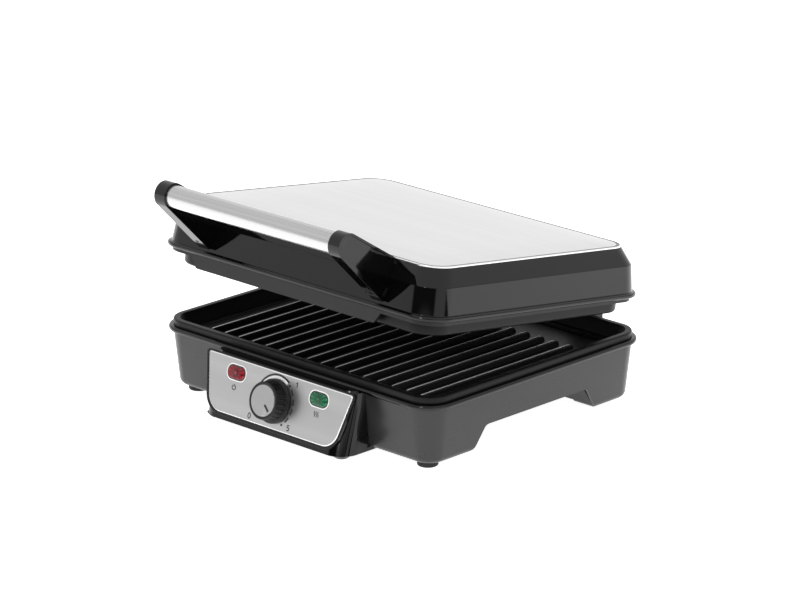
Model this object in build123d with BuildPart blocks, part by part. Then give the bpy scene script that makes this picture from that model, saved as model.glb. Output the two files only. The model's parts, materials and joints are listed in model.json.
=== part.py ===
# Electric contact grill: a ribbed lower plate in a graphite base, a ribbed upper plate in a
# glossy black lid, a floating hinge behind, a tube handle in front and a tilted control panel.
# Millimetres. The origin lies on the table under the middle of the whole outline.
# +Z is up, the controls and the handle face -Y, and the lid stands ajar as it is photographed.
from build123d import *
from math import atan, cos, radians, sin, tan
import os

os.makedirs("parts", exist_ok=True)

# Driving dimensions, shared by the base and the lid
bead_width = 330.0
bead_depth = 273.0
bead_corner = 26.0
bead_radius = 2.3
shell = 2.5

# Driving dimensions, clearances
seat_gap = 0.3
running_gap = 0.05
body_gap = 0.5

# Driving dimensions, base
foot_drop = 5.5
foot_radius = 9.0
foot_x = 138.5
foot_y = 111.5
rear_foot_x = 126.0
base_bead_z = 58.0
base_inset = 4.0
base_draft = 6.0
base_edge = 6.0
base_corner = 22.0
ledge_inset = 8.5
flange_inset = 34.0
arch_y = 2.0
arch_half_top = 63.0
arch_half_foot = 77.0
arch_z = 27.2
arch_round = 6.0
arch_foot_round = 5.0

# Driving dimensions, grill plates
plate_rim_inset = 4.2
plate_rim_z = 66.2
plate_lip = 6.0
plate_metal = 4.0
plate_wall_slope = 18.0
floor_depth = 14.2
rib_count = 16
rib_pitch = 16.8
rib_height = 5.2
rib_base = 4.4
rib_top = 2.2
rib_root = 1.2
rib_front = -112.0
rib_rear = 82.0
upper_rib_height = 5.2
upper_rib_front = -100.0
gutter_depth = 1.0

# Driving dimensions, heaters and reflectors
element_radius = 3.5
element_half_x = 105.0
element_front = -70.0
element_rear = 60.0
element_bend = 28.0
terminal_radius = 1.8
terminal_length = 12.0
terminal_gap = 26.0
sheet = 1.0
reflector_half_x = 132.0
reflector_half_y = 104.0
reflector_depth = 12.0

# Driving dimensions, control box and panel
panel_tilt = 16.0
dial_y = -153.55
dial_z = 32.6
panel_top = 24.8
panel_foot = 23.7
panel_half_top = 87.0
panel_half_foot = 75.0
panel_round = 17.0
panel_top_round = 2.0
panel_sheet = 0.8
frame_rim = 2.5
frame_top_rim = 1.5
frame_depth = 2.0
box_half = 86.0
box_round = 17.0
box_top = 57.6
box_foot = 3.2
box_back = -118.0
pad_x = 74.7
pad_y = -148.8
pad_radius = 6.0
pad_flare = 45.0
pad_lift = 0.3
lens_x = 49.7
lens_up = 13.1
lens_length = 20.0
lens_height = 11.0
lens_round = 5.0
lens_proud = 1.4
lens_button = 2.4
lamp_radius = 4.0
lamp_length = 12.0

# Driving dimensions, thermostat and knob
thermostat_width = 34.0
thermostat_height = 28.0
thermostat_depth = 13.0
shaft_radius = 3.0
knob_lift = 0.8
knob_length = 14.0
knob_rear_radius = 19.2
knob_flange = 3.0
knob_skirt_radius = 17.6
knob_front_radius = 15.8
knob_cap_radius = 13.7
knob_cap_sheet = 1.2
flute_count = 30
flute_radius = 1.0
pointer_turn = 132.0

# Driving dimensions, lid
rest_tilt = 8.0
closed_lid_z = 83.0
rest_lift = 12.6
lift_up = 7.4
lid_band_inset = 3.0
lid_knee_inset = 5.6
lid_knee_z = 25.5
lid_top_inset = 13.4
lid_top_z = 40.2
lid_corner = 23.5
lid_top_corner = 21.5
top_sheet = 1.2
frame_inset = 5.0
frame_foot_z = -6.0
frame_opening = 24.0
apron_left = 123.0
apron_right = 103.0
apron_taper = 6.0
apron_z = -15.5
upper_inset = 12.0
upper_corner = 24.0
upper_foot_z = -16.8

# Driving dimensions, hinge
hinge_back = 150.0
hinge_up = 17.0
hinge_x = 80.0
hinge_eye = 9.0
pin_radius = 3.0
post_width = 10.0
post_depth = 16.0
post_flange = 3.0
post_flange_depth = 4.0
post_reach = 56.0
guide_wall = 3.0
guide_top = 88.0
ear_width = 5.0
web_foot = 20.0
web_top = 54.0
bolt_low_z = 27.0
bolt_high_z = 40.0

# Driving dimensions, handle
handle_y = -183.5
handle_z = 55.5
tube_radius = 9.75
tube_wall = 1.5
nose_radius = 11.5
bracket_inner = 97.3
bracket_width = 12.7
bracket_socket = 8.0
bracket_foot_z = 5.5
bracket_recess = 1.5
bracket_rim = 2.8
bracket_rim_shift = 1.0
handle_bolt_low = 13.5
handle_bolt_high = 21.0
handle_bolt_bite = 6.0

# Driving dimensions, fasteners, gland and terminal block
screw_radius = 1.5
screw_head = 3.0
screw_head_depth = 1.8
boss_radius = 4.2
bolt_radius = 2.0
bolt_head = 3.6
gland_x = -30.0
gland_z = 22.0
gland_bore = 3.8
gland_radius = 6.0
gland_flange = 9.0
block_length = 34.0
block_depth = 18.0
block_height = 14.0

# Derived hinge and lid places
tilt_sin = sin(radians(rest_tilt))
tilt_cos = cos(radians(rest_tilt))
pivot_z = closed_lid_z + hinge_up + rest_lift
lid_back = hinge_back - hinge_back * tilt_cos - hinge_up * tilt_sin
lid_z = pivot_z + hinge_back * tilt_sin - hinge_up * tilt_cos
guide_half_y = post_depth / 2 + seat_gap + guide_wall
nose_reach = -(lid_back + handle_y * tilt_cos + handle_z * tilt_sin) + nose_radius
rear_reach = hinge_back + guide_half_y
base_y = (nose_reach - rear_reach) / 2

# Derived base heights
floor_z = plate_rim_z - floor_depth
plate_foot_z = floor_z - plate_metal
ledge_z = base_bead_z + bead_radius
feet_at = [(way * x, y) for x, y in ((foot_x, -foot_y), (rear_foot_x, foot_y)) for way in (-1, 1)]
pan_z = foot_drop + shell
lid_bead_foot = -bead_radius


def level(z):
    """Level plane of the base at height z above the table."""
    return Plane(origin=(0, base_y, z))


def side(x):
    """Upright plane facing +X, whose own x runs to the rear of the base and y runs up."""
    return Plane(origin=(x, base_y, 0), x_dir=(0, 1, 0), z_dir=(1, 0, 0))


def rear_face(y):
    """Upright plane facing +Y at distance y behind the middle of the base."""
    return Plane(origin=(0, base_y + y, 0), x_dir=(-1, 0, 0), z_dir=(0, 1, 0))


def lid_level(z):
    """Plane parallel to the tilted lid at height z above the lid's bead."""
    return Plane(
        origin=(0, base_y + lid_back + z * tilt_sin, lid_z + z * tilt_cos),
        x_dir=(1, 0, 0),
        z_dir=(0, tilt_sin, tilt_cos),
    )


def lid_side(x):
    """Plane facing +X, whose own x runs to the rear of the lid and y runs up from its bead."""
    return Plane(
        origin=(x, base_y + lid_back, lid_z),
        x_dir=(0, tilt_cos, -tilt_sin),
        z_dir=(1, 0, 0),
    )


def lid_rear_face(y):
    """Plane facing the rear of the lid, at distance y behind its middle."""
    return Plane(
        origin=(0, base_y + lid_back + y * tilt_cos, lid_z - y * tilt_sin),
        x_dir=(-1, 0, 0),
        z_dir=(0, tilt_cos, -tilt_sin),
    )


def panel_level(height):
    """Plane parallel to the control panel at a height above its face, centred on the dial."""
    out_y = -cos(radians(panel_tilt))
    out_z = sin(radians(panel_tilt))
    return Plane(
        origin=(0, base_y + dial_y + height * out_y, dial_z + height * out_z),
        x_dir=(1, 0, 0),
        z_dir=(0, out_y, out_z),
    )


def outline(inset, corner):
    """Rounded outline of the grill, drawn in by an inset from the beads."""
    RectangleRounded(bead_width - 2 * inset, bead_depth - 2 * inset, corner)


def save(piece, name):
    """Label one finished piece and write it as its own node."""
    piece.part.label = name
    export_step(piece.part, f"parts/{name}.step")
    print(name, len(piece.part.solids()), round(piece.part.volume))


# Outer envelope of the base, used to seat the pieces that lie against it
with BuildPart() as base_envelope:
    with BuildSketch(Plane(origin=(0, base_y, base_bead_z), x_dir=(1, 0, 0), z_dir=(0, 0, -1))):
        outline(base_inset - seat_gap, base_corner + seat_gap)
    extrude(amount=base_bead_z - foot_drop + seat_gap, taper=base_draft)
    fillet(base_envelope.edges().group_by(Axis.Z)[0], base_edge)

# Space under the bridge between the front and the rear feet
with BuildPart() as arch_space:
    with BuildSketch(side(-bead_width)) as arch_profile:
        Polygon(
            (arch_y - arch_half_foot - 2 * arch_foot_round, -foot_drop),
            (arch_y - arch_half_foot - 2 * arch_foot_round, foot_drop - running_gap),
            (arch_y - arch_half_foot, foot_drop - running_gap),
            (arch_y - arch_half_top, arch_z),
            (arch_y + arch_half_top, arch_z),
            (arch_y + arch_half_foot, foot_drop - running_gap),
            (arch_y + arch_half_foot + 2 * arch_foot_round, foot_drop - running_gap),
            (arch_y + arch_half_foot + 2 * arch_foot_round, -foot_drop),
            align=None,
        )
        fillet(arch_profile.vertices().group_by(Axis.Y)[-1], arch_round)
        foot_turns = arch_profile.vertices().group_by(Axis.Y)[1].sort_by(Axis.X)[1:3]
        fillet(foot_turns, arch_foot_round)
    extrude(amount=2 * bead_width)

# Base housing: drafted graphite wall with a turned-in foot flange, a bridge cut through both
# sides, an opening to the control box and a pad for the cord gland
foot_plane = Plane(origin=(0, base_y, base_bead_z), x_dir=(1, 0, 0), z_dir=(0, 0, -1))
rear_wall_y = bead_depth / 2 - base_inset - (base_bead_z - gland_z) * tan(radians(base_draft))
gland_face = rear_wall_y + shell
screw_spots = [(x, y) for x in (-foot_x + 32, foot_x - 32) for y in (-foot_y, foot_y)]
guide_bolts = [(x, z) for x in (-hinge_x, hinge_x) for z in (bolt_low_z, bolt_high_z)]
with BuildPart() as base_housing:
    with BuildSketch(foot_plane):
        outline(base_inset, base_corner)
    extrude(amount=base_bead_z - foot_drop, taper=base_draft)
    fillet(base_housing.edges().group_by(Axis.Z)[0], base_edge)
    with BuildSketch(foot_plane):
        outline(base_inset + shell, base_corner - shell)
    extrude(amount=base_bead_z - pan_z, taper=base_draft, mode=Mode.SUBTRACT)
    with BuildSketch(level(base_bead_z - bead_radius - running_gap)):
        outline(-shell, bead_corner + shell)
    extrude(amount=2 * bead_radius, mode=Mode.SUBTRACT)
    with BuildSketch(rear_face(rear_wall_y - shell)):
        with Locations((-gland_x, gland_z)):
            Circle(gland_flange + shell)
    extrude(amount=2 * shell)
    with BuildSketch(level(0)):
        outline(flange_inset, base_edge)
    extrude(amount=pan_z + seat_gap, mode=Mode.SUBTRACT)
    add(arch_space.part, mode=Mode.SUBTRACT)
    with BuildSketch(rear_face(-bead_depth / 2 - base_edge)):
        with Locations((0, dial_z)):
            Rectangle(2 * (lens_x + lens_length), thermostat_height)
    extrude(amount=4 * base_edge, mode=Mode.SUBTRACT)
    with BuildSketch(rear_face(rear_wall_y - 2 * shell)):
        with Locations((-gland_x, gland_z)):
            Circle(gland_radius + running_gap)
        with Locations(*[(-x, z) for x, z in guide_bolts]):
            Circle(bolt_radius + running_gap)
    extrude(amount=6 * shell, mode=Mode.SUBTRACT)
    with BuildSketch(level(0)):
        with Locations(*screw_spots):
            Circle(screw_radius + running_gap)
        with Locations(*feet_at):
            Circle(screw_head + running_gap)
    extrude(amount=pan_z + seat_gap, mode=Mode.SUBTRACT)
    with BuildSketch(level(0)):
        with Locations(*screw_spots):
            Circle(screw_head + seat_gap)
    extrude(amount=foot_drop + screw_head_depth, mode=Mode.SUBTRACT)
save(base_housing, "base_housing")

# Base trim: black half-round bead clipped on the wall, whose ledge seats the lower plate
with BuildPart() as base_trim:
    with BuildSketch(level(base_bead_z - bead_radius)):
        outline(0, bead_corner)
    extrude(amount=2 * bead_radius)
    fillet(base_trim.edges().group_by(Axis.Z)[-1], bead_radius * 0.9)
    fillet(base_trim.edges().group_by(Axis.Z)[0], bead_radius * 0.9)
    with BuildSketch(level(base_bead_z - bead_radius)):
        outline(ledge_inset, bead_corner - ledge_inset)
    extrude(amount=2 * bead_radius, mode=Mode.SUBTRACT)
save(base_trim, "base_trim")

# Bottom cover: one moulded sheet that lines the bridge and floors the feet
cover_inset = base_inset + shell + (base_bead_z - pan_z) * tan(radians(base_draft)) + seat_gap
slant = atan((arch_z - foot_drop) / (arch_half_foot - arch_half_top))
slant_wide = shell / sin(slant)
cover_top = arch_z + shell
pocket_top = cover_top + shell
pocket_run = (pocket_top - pan_z - shell) / tan(slant)
pocket_half = arch_half_foot - (pan_z + shell - foot_drop) / tan(slant) + slant_wide
with BuildPart() as bottom_cover:
    with BuildSketch(level(pan_z)):
        outline(cover_inset, base_corner - base_edge)
    extrude(amount=cover_top - pan_z)
    add(arch_space.part, mode=Mode.SUBTRACT)
    with BuildSketch(side(-bead_width)):
        for way in (-1, 1):
            Polygon(
                (arch_y + way * pocket_half, pan_z + shell),
                (arch_y + way * bead_depth, pan_z + shell),
                (arch_y + way * bead_depth, pocket_top),
                (arch_y + way * (pocket_half - pocket_run), pocket_top),
                align=None,
            )
    extrude(amount=2 * bead_width, mode=Mode.SUBTRACT)
    with BuildSketch(level(pan_z)):
        with Locations(*screw_spots):
            Circle(boss_radius)
    extrude(amount=4 * shell)
    with BuildSketch(level(pan_z)):
        with Locations(*screw_spots):
            Circle(screw_radius + running_gap)
        with Locations(*feet_at):
            Circle(screw_head + running_gap)
    extrude(amount=4 * shell, mode=Mode.SUBTRACT)
    with BuildSketch(level(arch_z - seat_gap)):
        with GridLocations(5 * shell, 0, 9, 1):
            SlotOverall(arch_half_top, shell, rotation=90)
    extrude(amount=2 * shell, mode=Mode.SUBTRACT)
save(bottom_cover, "bottom_cover")

# Rubber feet: four turned pads whose stems press up through the flange and the cover
with BuildPart() as rubber_feet:
    with BuildSketch(level(0)):
        with Locations(*feet_at):
            Circle(foot_radius)
    extrude(amount=foot_drop)
    chamfer(rubber_feet.edges().group_by(Axis.Z)[0], foot_drop / 6)
    with BuildSketch(level(foot_drop)):
        with Locations(*feet_at):
            Circle(screw_head)
    extrude(amount=2 * shell + seat_gap)
save(rubber_feet, "rubber_feet")

# Cover screws: four pan screws driven up from the recesses in the foot flange
with BuildPart() as cover_screws:
    with BuildSketch(level(foot_drop)):
        with Locations(*screw_spots):
            Circle(screw_head)
    extrude(amount=screw_head_depth - running_gap)
    with BuildSketch(level(foot_drop)):
        with Locations(*screw_spots):
            Circle(screw_radius)
    extrude(amount=4 * shell)
save(cover_screws, "cover_screws")


def panel_outline(rim, top_rim):
    """Face of the control panel, widened by a rim all round and a rim above."""
    lean = (panel_half_top - panel_half_foot) / (panel_top + panel_foot)
    top = panel_top + top_rim
    foot = panel_foot + rim
    Polygon(
        (-panel_half_top - rim - lean * top_rim, top),
        (panel_half_top + rim + lean * top_rim, top),
        (panel_half_foot + rim - lean * rim, -foot),
        (-panel_half_foot - rim + lean * rim, -foot),
        align=None,
    )


def panel_face(rim, top_rim):
    """Rounded face of the panel: wide curves below and small ones above."""
    with BuildSketch(Plane.XY, mode=Mode.PRIVATE) as face:
        panel_outline(rim, top_rim)
        fillet(face.vertices().group_by(Axis.Y)[0], panel_round + rim)
        fillet(face.vertices().group_by(Axis.Y)[-1], panel_top_round + rim / 2)
    return face.sketch


def lens_windows(gap):
    """Both indicator windows, with a gap round the lenses."""
    with Locations((-lens_x, lens_up), (lens_x, lens_up)):
        RectangleRounded(lens_length + 2 * gap, lens_height + 2 * gap, lens_round + gap)


def box_y(z, sunk):
    """Depth of a plane sunk under the panel face, at height z above the table."""
    return dial_y + sunk / cos(radians(panel_tilt)) - (dial_z - z) * tan(radians(panel_tilt))


bead_front = -bead_depth / 2 - body_gap
under_bead = base_bead_z - bead_radius - seat_gap


def box_profile(sunk, top, foot, back):
    """Side profile of the control box, stepped under the bead of the base."""
    Polygon(
        (back, foot),
        (box_y(foot, sunk), foot),
        (box_y(top, sunk), top),
        (bead_front - (sunk - frame_depth), top),
        (bead_front - (sunk - frame_depth), under_bead - (box_top - top)),
        (back, under_bead - (box_top - top)),
        align=None,
    )


def upright_front_edges(piece, half):
    """The two leaning edges at the front corners of a box of the given half width."""
    at_sides = [edge for edge in piece.edges() if abs(abs(edge.center().X) - half) < running_gap]
    leaning = [edge for edge in at_sides if 0.9 < abs(edge.tangent_at(0.5).Z) < 0.99]
    return leaning


# Control box: glossy black housing with rounded upright corners and a leaning face
with BuildPart() as box_hollow:
    with BuildSketch(side(-box_half + shell)):
        box_profile(frame_depth + shell, box_top - shell, box_foot + shell, box_back + shell)
    extrude(amount=2 * (box_half - shell))
    fillet(upright_front_edges(box_hollow, box_half - shell), box_round - shell)

with BuildPart() as control_box:
    with BuildSketch(side(-box_half)):
        box_profile(frame_depth, box_top, box_foot, box_back)
    extrude(amount=2 * box_half)
    fillet(upright_front_edges(control_box, box_half), box_round)
    with BuildSketch(level(pad_lift)):
        with Locations((-pad_x, pad_y), (pad_x, pad_y)):
            Circle(pad_radius)
    extrude(amount=box_foot + shell / 8, taper=-pad_flare)
    add(box_hollow.part, mode=Mode.SUBTRACT)
    add(base_envelope.part, mode=Mode.SUBTRACT)
    with BuildSketch(panel_level(-frame_depth - 2 * shell)):
        Circle(shaft_radius + body_gap)
        lens_windows(running_gap)
    extrude(amount=3 * shell, mode=Mode.SUBTRACT)
save(control_box, "control_box")

# Panel frame: black surround that seats the brushed sheet
with BuildPart() as panel_frame:
    with BuildSketch(panel_level(-frame_depth)):
        add(panel_face(frame_rim, frame_top_rim))
    extrude(amount=frame_depth + running_gap * 6)
    with BuildSketch(panel_level(-panel_sheet)):
        add(panel_face(running_gap * 2, running_gap * 2))
    extrude(amount=2 * panel_sheet, mode=Mode.SUBTRACT)
    with BuildSketch(panel_level(-2 * frame_depth)):
        Circle(shaft_radius + body_gap)
        lens_windows(running_gap)
    extrude(amount=3 * frame_depth, mode=Mode.SUBTRACT)
save(panel_frame, "panel_frame")

# Control panel: brushed sheet with the dial hole and two windows
with BuildPart() as control_panel:
    with BuildSketch(panel_level(-panel_sheet)):
        add(panel_face(0, 0))
        Circle(shaft_radius + body_gap, mode=Mode.SUBTRACT)
        with Locations((-lens_x, lens_up), (lens_x, lens_up)):
            RectangleRounded(
                lens_length + 4 * running_gap,
                lens_height + 4 * running_gap,
                lens_round + 2 * running_gap,
                mode=Mode.SUBTRACT,
            )
    extrude(amount=panel_sheet)
save(control_panel, "control_panel")

# Indicator lenses: pressed jewels with a chamfered edge and a round button
lens_back = -frame_depth - shell
for name, x in (("power_lens", -lens_x), ("ready_lens", lens_x)):
    with BuildPart() as lens:
        with BuildSketch(panel_level(lens_back)):
            with Locations((x, lens_up)):
                RectangleRounded(lens_length, lens_height, lens_round)
        extrude(amount=lens_proud - lens_back)
        face = lens.faces().filter_by(panel_level(0)).sort_by(Axis(panel_level(0).origin, panel_level(0).z_dir))
        chamfer(face[-1].edges(), lens_proud * 0.8)
        with BuildSketch(panel_level(lens_proud)):
            with Locations((x, lens_up)):
                Circle(lens_button)
        extrude(amount=lens_proud / 3)
    save(lens, name)

# Indicator lamps: two neon capsules close behind their lenses
with BuildPart() as indicator_lamps:
    with BuildSketch(panel_level(lens_back - seat_gap - lamp_length)):
        with Locations((-lens_x, lens_up), (lens_x, lens_up)):
            Circle(lamp_radius)
    extrude(amount=lamp_length)
save(indicator_lamps, "indicator_lamps")

# Thermostat: flanged switch body bored for the knob's shaft
body_top = lens_back - running_gap
with BuildPart() as thermostat:
    with BuildSketch(panel_level(body_top - thermostat_depth)):
        RectangleRounded(thermostat_width, thermostat_height, shell)
    extrude(amount=thermostat_depth)
    with BuildSketch(panel_level(body_top - thermostat_depth + shell)):
        Circle(shaft_radius + running_gap)
    extrude(amount=thermostat_depth, mode=Mode.SUBTRACT)
save(thermostat, "thermostat")

# Thermostat shaft: turned spindle from the switch to the knob
shaft_foot = body_top - thermostat_depth + shell + seat_gap
shaft_top = knob_lift + knob_length - 2 * knob_cap_sheet
with BuildPart() as thermostat_shaft:
    with BuildSketch(panel_level(shaft_foot)):
        Circle(shaft_radius)
    extrude(amount=shaft_top - shaft_foot)
save(thermostat_shaft, "thermostat_shaft")

# Thermostat knob: flanged, tapered and fluted grip with a recess for its cap
with BuildPart() as thermostat_knob:
    with BuildSketch(panel_level(knob_lift)):
        Circle(knob_rear_radius)
    extrude(amount=knob_flange)
    with BuildSketch(panel_level(knob_lift + knob_flange)):
        Circle(knob_skirt_radius)
    with BuildSketch(panel_level(knob_lift + knob_length)):
        Circle(knob_front_radius)
    loft()
    with BuildSketch(panel_level(knob_lift + knob_flange)):
        with PolarLocations(knob_skirt_radius + flute_radius / 2, flute_count):
            Circle(flute_radius)
    extrude(amount=knob_length - 2 * knob_flange, mode=Mode.SUBTRACT)
    with BuildSketch(panel_level(knob_lift)):
        Circle(shaft_radius + running_gap)
    extrude(amount=knob_length - 2 * knob_cap_sheet, mode=Mode.SUBTRACT)
    with BuildSketch(panel_level(knob_lift + knob_length - knob_cap_sheet)):
        Circle(knob_cap_radius + running_gap)
    extrude(amount=knob_cap_sheet, mode=Mode.SUBTRACT)
save(thermostat_knob, "thermostat_knob")

# Knob cap: turned silver disc with a sunk pointer line
pointer_run = knob_cap_radius * 0.52
pointer_mid = knob_cap_radius * 0.58
with BuildPart() as knob_cap:
    with BuildSketch(panel_level(knob_lift + knob_length - knob_cap_sheet + running_gap)):
        Circle(knob_cap_radius)
    extrude(amount=knob_cap_sheet)
    chamfer(knob_cap.edges().sort_by(Axis(panel_level(0).origin, panel_level(0).z_dir))[-1], knob_cap_sheet / 4)
    pointer_x = pointer_mid * sin(radians(pointer_turn))
    pointer_up = pointer_mid * cos(radians(pointer_turn))
    with BuildSketch(panel_level(knob_lift + knob_length + running_gap)):
        with Locations((pointer_x, pointer_up)):
            SlotOverall(pointer_run, knob_cap_sheet, rotation=90 - pointer_turn)
    extrude(amount=-knob_cap_sheet / 4, mode=Mode.SUBTRACT)
save(knob_cap, "knob_cap")

# Lower grill plate: cast dish with a raised rim, ribs from front to rear and a grease gutter
rib_middle = (rib_front + rib_rear) / 2
rib_length = rib_rear - rib_front
plate_skirt = ledge_inset + body_gap


lip_inset = plate_rim_inset + plate_lip
lip_corner = bead_corner - lip_inset
dish_plane = Plane(origin=(0, base_y, plate_rim_z), x_dir=(1, 0, 0), z_dir=(0, 0, -1))
with BuildPart() as lower_grill_plate:
    with BuildSketch(level(ledge_z)):
        outline(plate_rim_inset, bead_corner - plate_rim_inset)
    extrude(amount=plate_rim_z - ledge_z)
    with BuildSketch(level(plate_foot_z)):
        outline(plate_skirt, bead_corner - plate_skirt)
    extrude(amount=ledge_z - plate_foot_z)
    fillet(lower_grill_plate.edges().group_by(Axis.Z)[0], shell)
    with BuildSketch(dish_plane):
        outline(lip_inset, lip_corner)
    extrude(amount=floor_depth, taper=plate_wall_slope, mode=Mode.SUBTRACT)
    fillet(lower_grill_plate.edges().group_by(Axis.Z)[-1], plate_lip / 4)
    gutter_y = (bead_depth / 2 - lip_inset - floor_depth / 2 + rib_rear) / 2
    with BuildSketch(level(floor_z - gutter_depth)):
        with Locations((0, gutter_y)):
            RectangleRounded(2 * foot_x, foot_y - rib_rear, base_edge)
    extrude(amount=gutter_depth, mode=Mode.SUBTRACT)
    for index in range(rib_count):
        rib_x = (index - (rib_count - 1) / 2) * rib_pitch
        with BuildSketch(level(floor_z - rib_root)):
            with Locations((rib_x, rib_middle)):
                Rectangle(rib_base, rib_length)
        with BuildSketch(level(floor_z + rib_height)):
            with Locations((rib_x, rib_middle)):
                Rectangle(rib_top, rib_length - rib_height)
        loft(ruled=True)
save(lower_grill_plate, "lower_grill_plate")


def element(plane, name):
    """Tubular heater bent to a loop, with its two terminals at the rear."""
    with BuildPart() as heater:
        with BuildLine(plane) as path:
            FilletPolyline(
                (-terminal_gap / 2, element_rear + terminal_length * 2),
                (-terminal_gap / 2, element_rear - element_bend),
                (-element_half_x, element_rear - element_bend),
                (-element_half_x, element_front),
                (element_half_x, element_front),
                (element_half_x, element_rear - element_bend),
                (terminal_gap / 2, element_rear - element_bend),
                (terminal_gap / 2, element_rear + terminal_length * 2),
                radius=terminal_gap / 2 - element_radius,
            )
        with BuildSketch(Plane(origin=path.line @ 0, z_dir=path.line % 0)):
            Circle(element_radius)
        sweep(path=path.line)
        ends = heater.faces().filter_by(GeomType.PLANE)
        extrude(ends, amount=terminal_length / 4)
    save(heater, name)


def reflector(plane, turn, name):
    """Folded aluminium tray behind a heater, open towards its plate."""
    with BuildPart() as tray:
        with BuildSketch(plane(0)):
            RectangleRounded(2 * reflector_half_x, 2 * reflector_half_y, base_edge)
        extrude(amount=turn * reflector_depth)
        with BuildSketch(plane(turn * sheet)):
            RectangleRounded(2 * (reflector_half_x - sheet), 2 * (reflector_half_y - sheet), base_edge - sheet)
        extrude(amount=turn * reflector_depth, mode=Mode.SUBTRACT)
        with BuildSketch(rear_cut(plane, turn)):
            with Locations((-terminal_gap / 2, 0), (terminal_gap / 2, 0)):
                Circle(element_radius + body_gap)
        extrude(amount=reflector_half_y, mode=Mode.SUBTRACT)
    save(tray, name)


def rear_cut(plane, turn):
    """Upright plane through the heater's axis, for the terminal holes in the tray's rear wall."""
    base = plane(turn * (reflector_depth - element_radius))
    return Plane(origin=base.origin + base.y_dir * (reflector_half_y / 2), x_dir=base.x_dir, z_dir=base.y_dir)


element(level(plate_foot_z - seat_gap - element_radius), "lower_heating_element")
reflector(lambda z: level(plate_foot_z - seat_gap - reflector_depth + z), 1, "lower_reflector")

# Thermal fuse: small cartridge under the lower reflector, by the heater's terminals
fuse_z = plate_foot_z - seat_gap - reflector_depth - seat_gap - lamp_radius / 2
with BuildPart() as thermal_fuse:
    with BuildSketch(Plane(origin=(-lamp_length, base_y + element_rear, fuse_z), z_dir=(1, 0, 0))):
        Circle(lamp_radius / 2)
    extrude(amount=2 * lamp_length)
save(thermal_fuse, "thermal_fuse")

# Terminal block: moulded strip with four screw wells on the rear floor of the cover
with BuildPart() as terminal_block:
    with BuildSketch(level(pan_z + shell)):
        with Locations((gland_x, foot_y - block_depth)):
            RectangleRounded(block_length, block_depth, shell)
    extrude(amount=block_height)
    with BuildSketch(level(pan_z + shell + block_height)):
        with Locations((gland_x, foot_y - block_depth)):
            with GridLocations(block_length / 4, 0, 4, 1):
                Circle(screw_head * 0.8)
    extrude(amount=-block_height / 2, mode=Mode.SUBTRACT)
save(terminal_block, "terminal_block")

# Cord gland: flanged bush through the rear wall
with BuildPart() as cord_gland:
    with BuildSketch(rear_face(rear_wall_y - 2 * shell)):
        with Locations((-gland_x, gland_z)):
            Circle(gland_radius)
    extrude(amount=4 * shell)
    with BuildSketch(rear_face(gland_face + running_gap)):
        with Locations((-gland_x, gland_z)):
            Circle(gland_flange)
    extrude(amount=shell)
    with BuildSketch(rear_face(rear_wall_y - 3 * shell)):
        with Locations((-gland_x, gland_z)):
            Circle(gland_bore)
    extrude(amount=8 * shell, mode=Mode.SUBTRACT)
save(cord_gland, "cord_gland")

# Hinge guides: hollow towers bolted behind the base, closed in by a neck at the top
post_foot_z = pivot_z - post_reach
guide_floor_z = post_foot_z - rest_lift - seat_gap
neck_z = post_foot_z + post_flange_depth + lift_up + seat_gap
well_x = post_width + 2 * post_flange + 2 * seat_gap
well_y = post_depth + 2 * seat_gap
bolt_tip = hinge_back - well_y / 2 - guide_wall / 2
for name, x in (("hinge_guide_left", -hinge_x), ("hinge_guide_right", hinge_x)):
    with BuildPart() as guide:
        with BuildSketch(level(guide_floor_z - guide_wall)):
            with Locations((x, hinge_back)):
                RectangleRounded(well_x + 2 * guide_wall, well_y + 2 * guide_wall, guide_wall)
        extrude(amount=guide_top - guide_floor_z + guide_wall)
        with BuildSketch(level(web_foot)):
            with Locations((x, hinge_back - well_y)):
                Rectangle(well_x + 2 * guide_wall, well_y + 2 * guide_wall)
        extrude(amount=web_top - web_foot)
        with BuildSketch(level(web_foot)):
            with Locations((x, hinge_back)):
                RectangleRounded(well_x + 2 * guide_wall, well_y + 2 * guide_wall, guide_wall)
        extrude(amount=web_top - web_foot)
        add(base_envelope.part, mode=Mode.SUBTRACT)
        with BuildSketch(level(guide_floor_z)):
            with Locations((x, hinge_back)):
                Rectangle(well_x, well_y)
        extrude(amount=neck_z - guide_floor_z, mode=Mode.SUBTRACT)
        with BuildSketch(level(guide_floor_z)):
            with Locations((x, hinge_back)):
                Rectangle(post_width + 2 * seat_gap, well_y)
        extrude(amount=guide_top, mode=Mode.SUBTRACT)
        with BuildSketch(rear_face(rear_wall_y - 2 * shell)):
            with Locations(*[(-spot_x, z) for spot_x, z in guide_bolts]):
                Circle(bolt_radius + running_gap)
        extrude(amount=bolt_tip + seat_gap - rear_wall_y + 2 * shell, mode=Mode.SUBTRACT)
    save(guide, name)

# Guide bolts: four pan bolts from inside the rear wall
bolt_seat = rear_wall_y - shell - 2 * seat_gap
with BuildPart() as guide_bolt_set:
    with BuildSketch(rear_face(bolt_seat)):
        with Locations(*[(-x, z) for x, z in guide_bolts]):
            Circle(bolt_radius)
    extrude(amount=bolt_tip - bolt_seat)
    for x, z in guide_bolts:
        wall_y = bead_depth / 2 - base_inset - shell - (base_bead_z - z) * tan(radians(base_draft))
        with BuildSketch(rear_face(wall_y - 2 * seat_gap)):
            with Locations((-x, z)):
                Circle(bolt_head)
        extrude(amount=-screw_head_depth)
save(guide_bolt_set, "guide_bolts")

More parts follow.
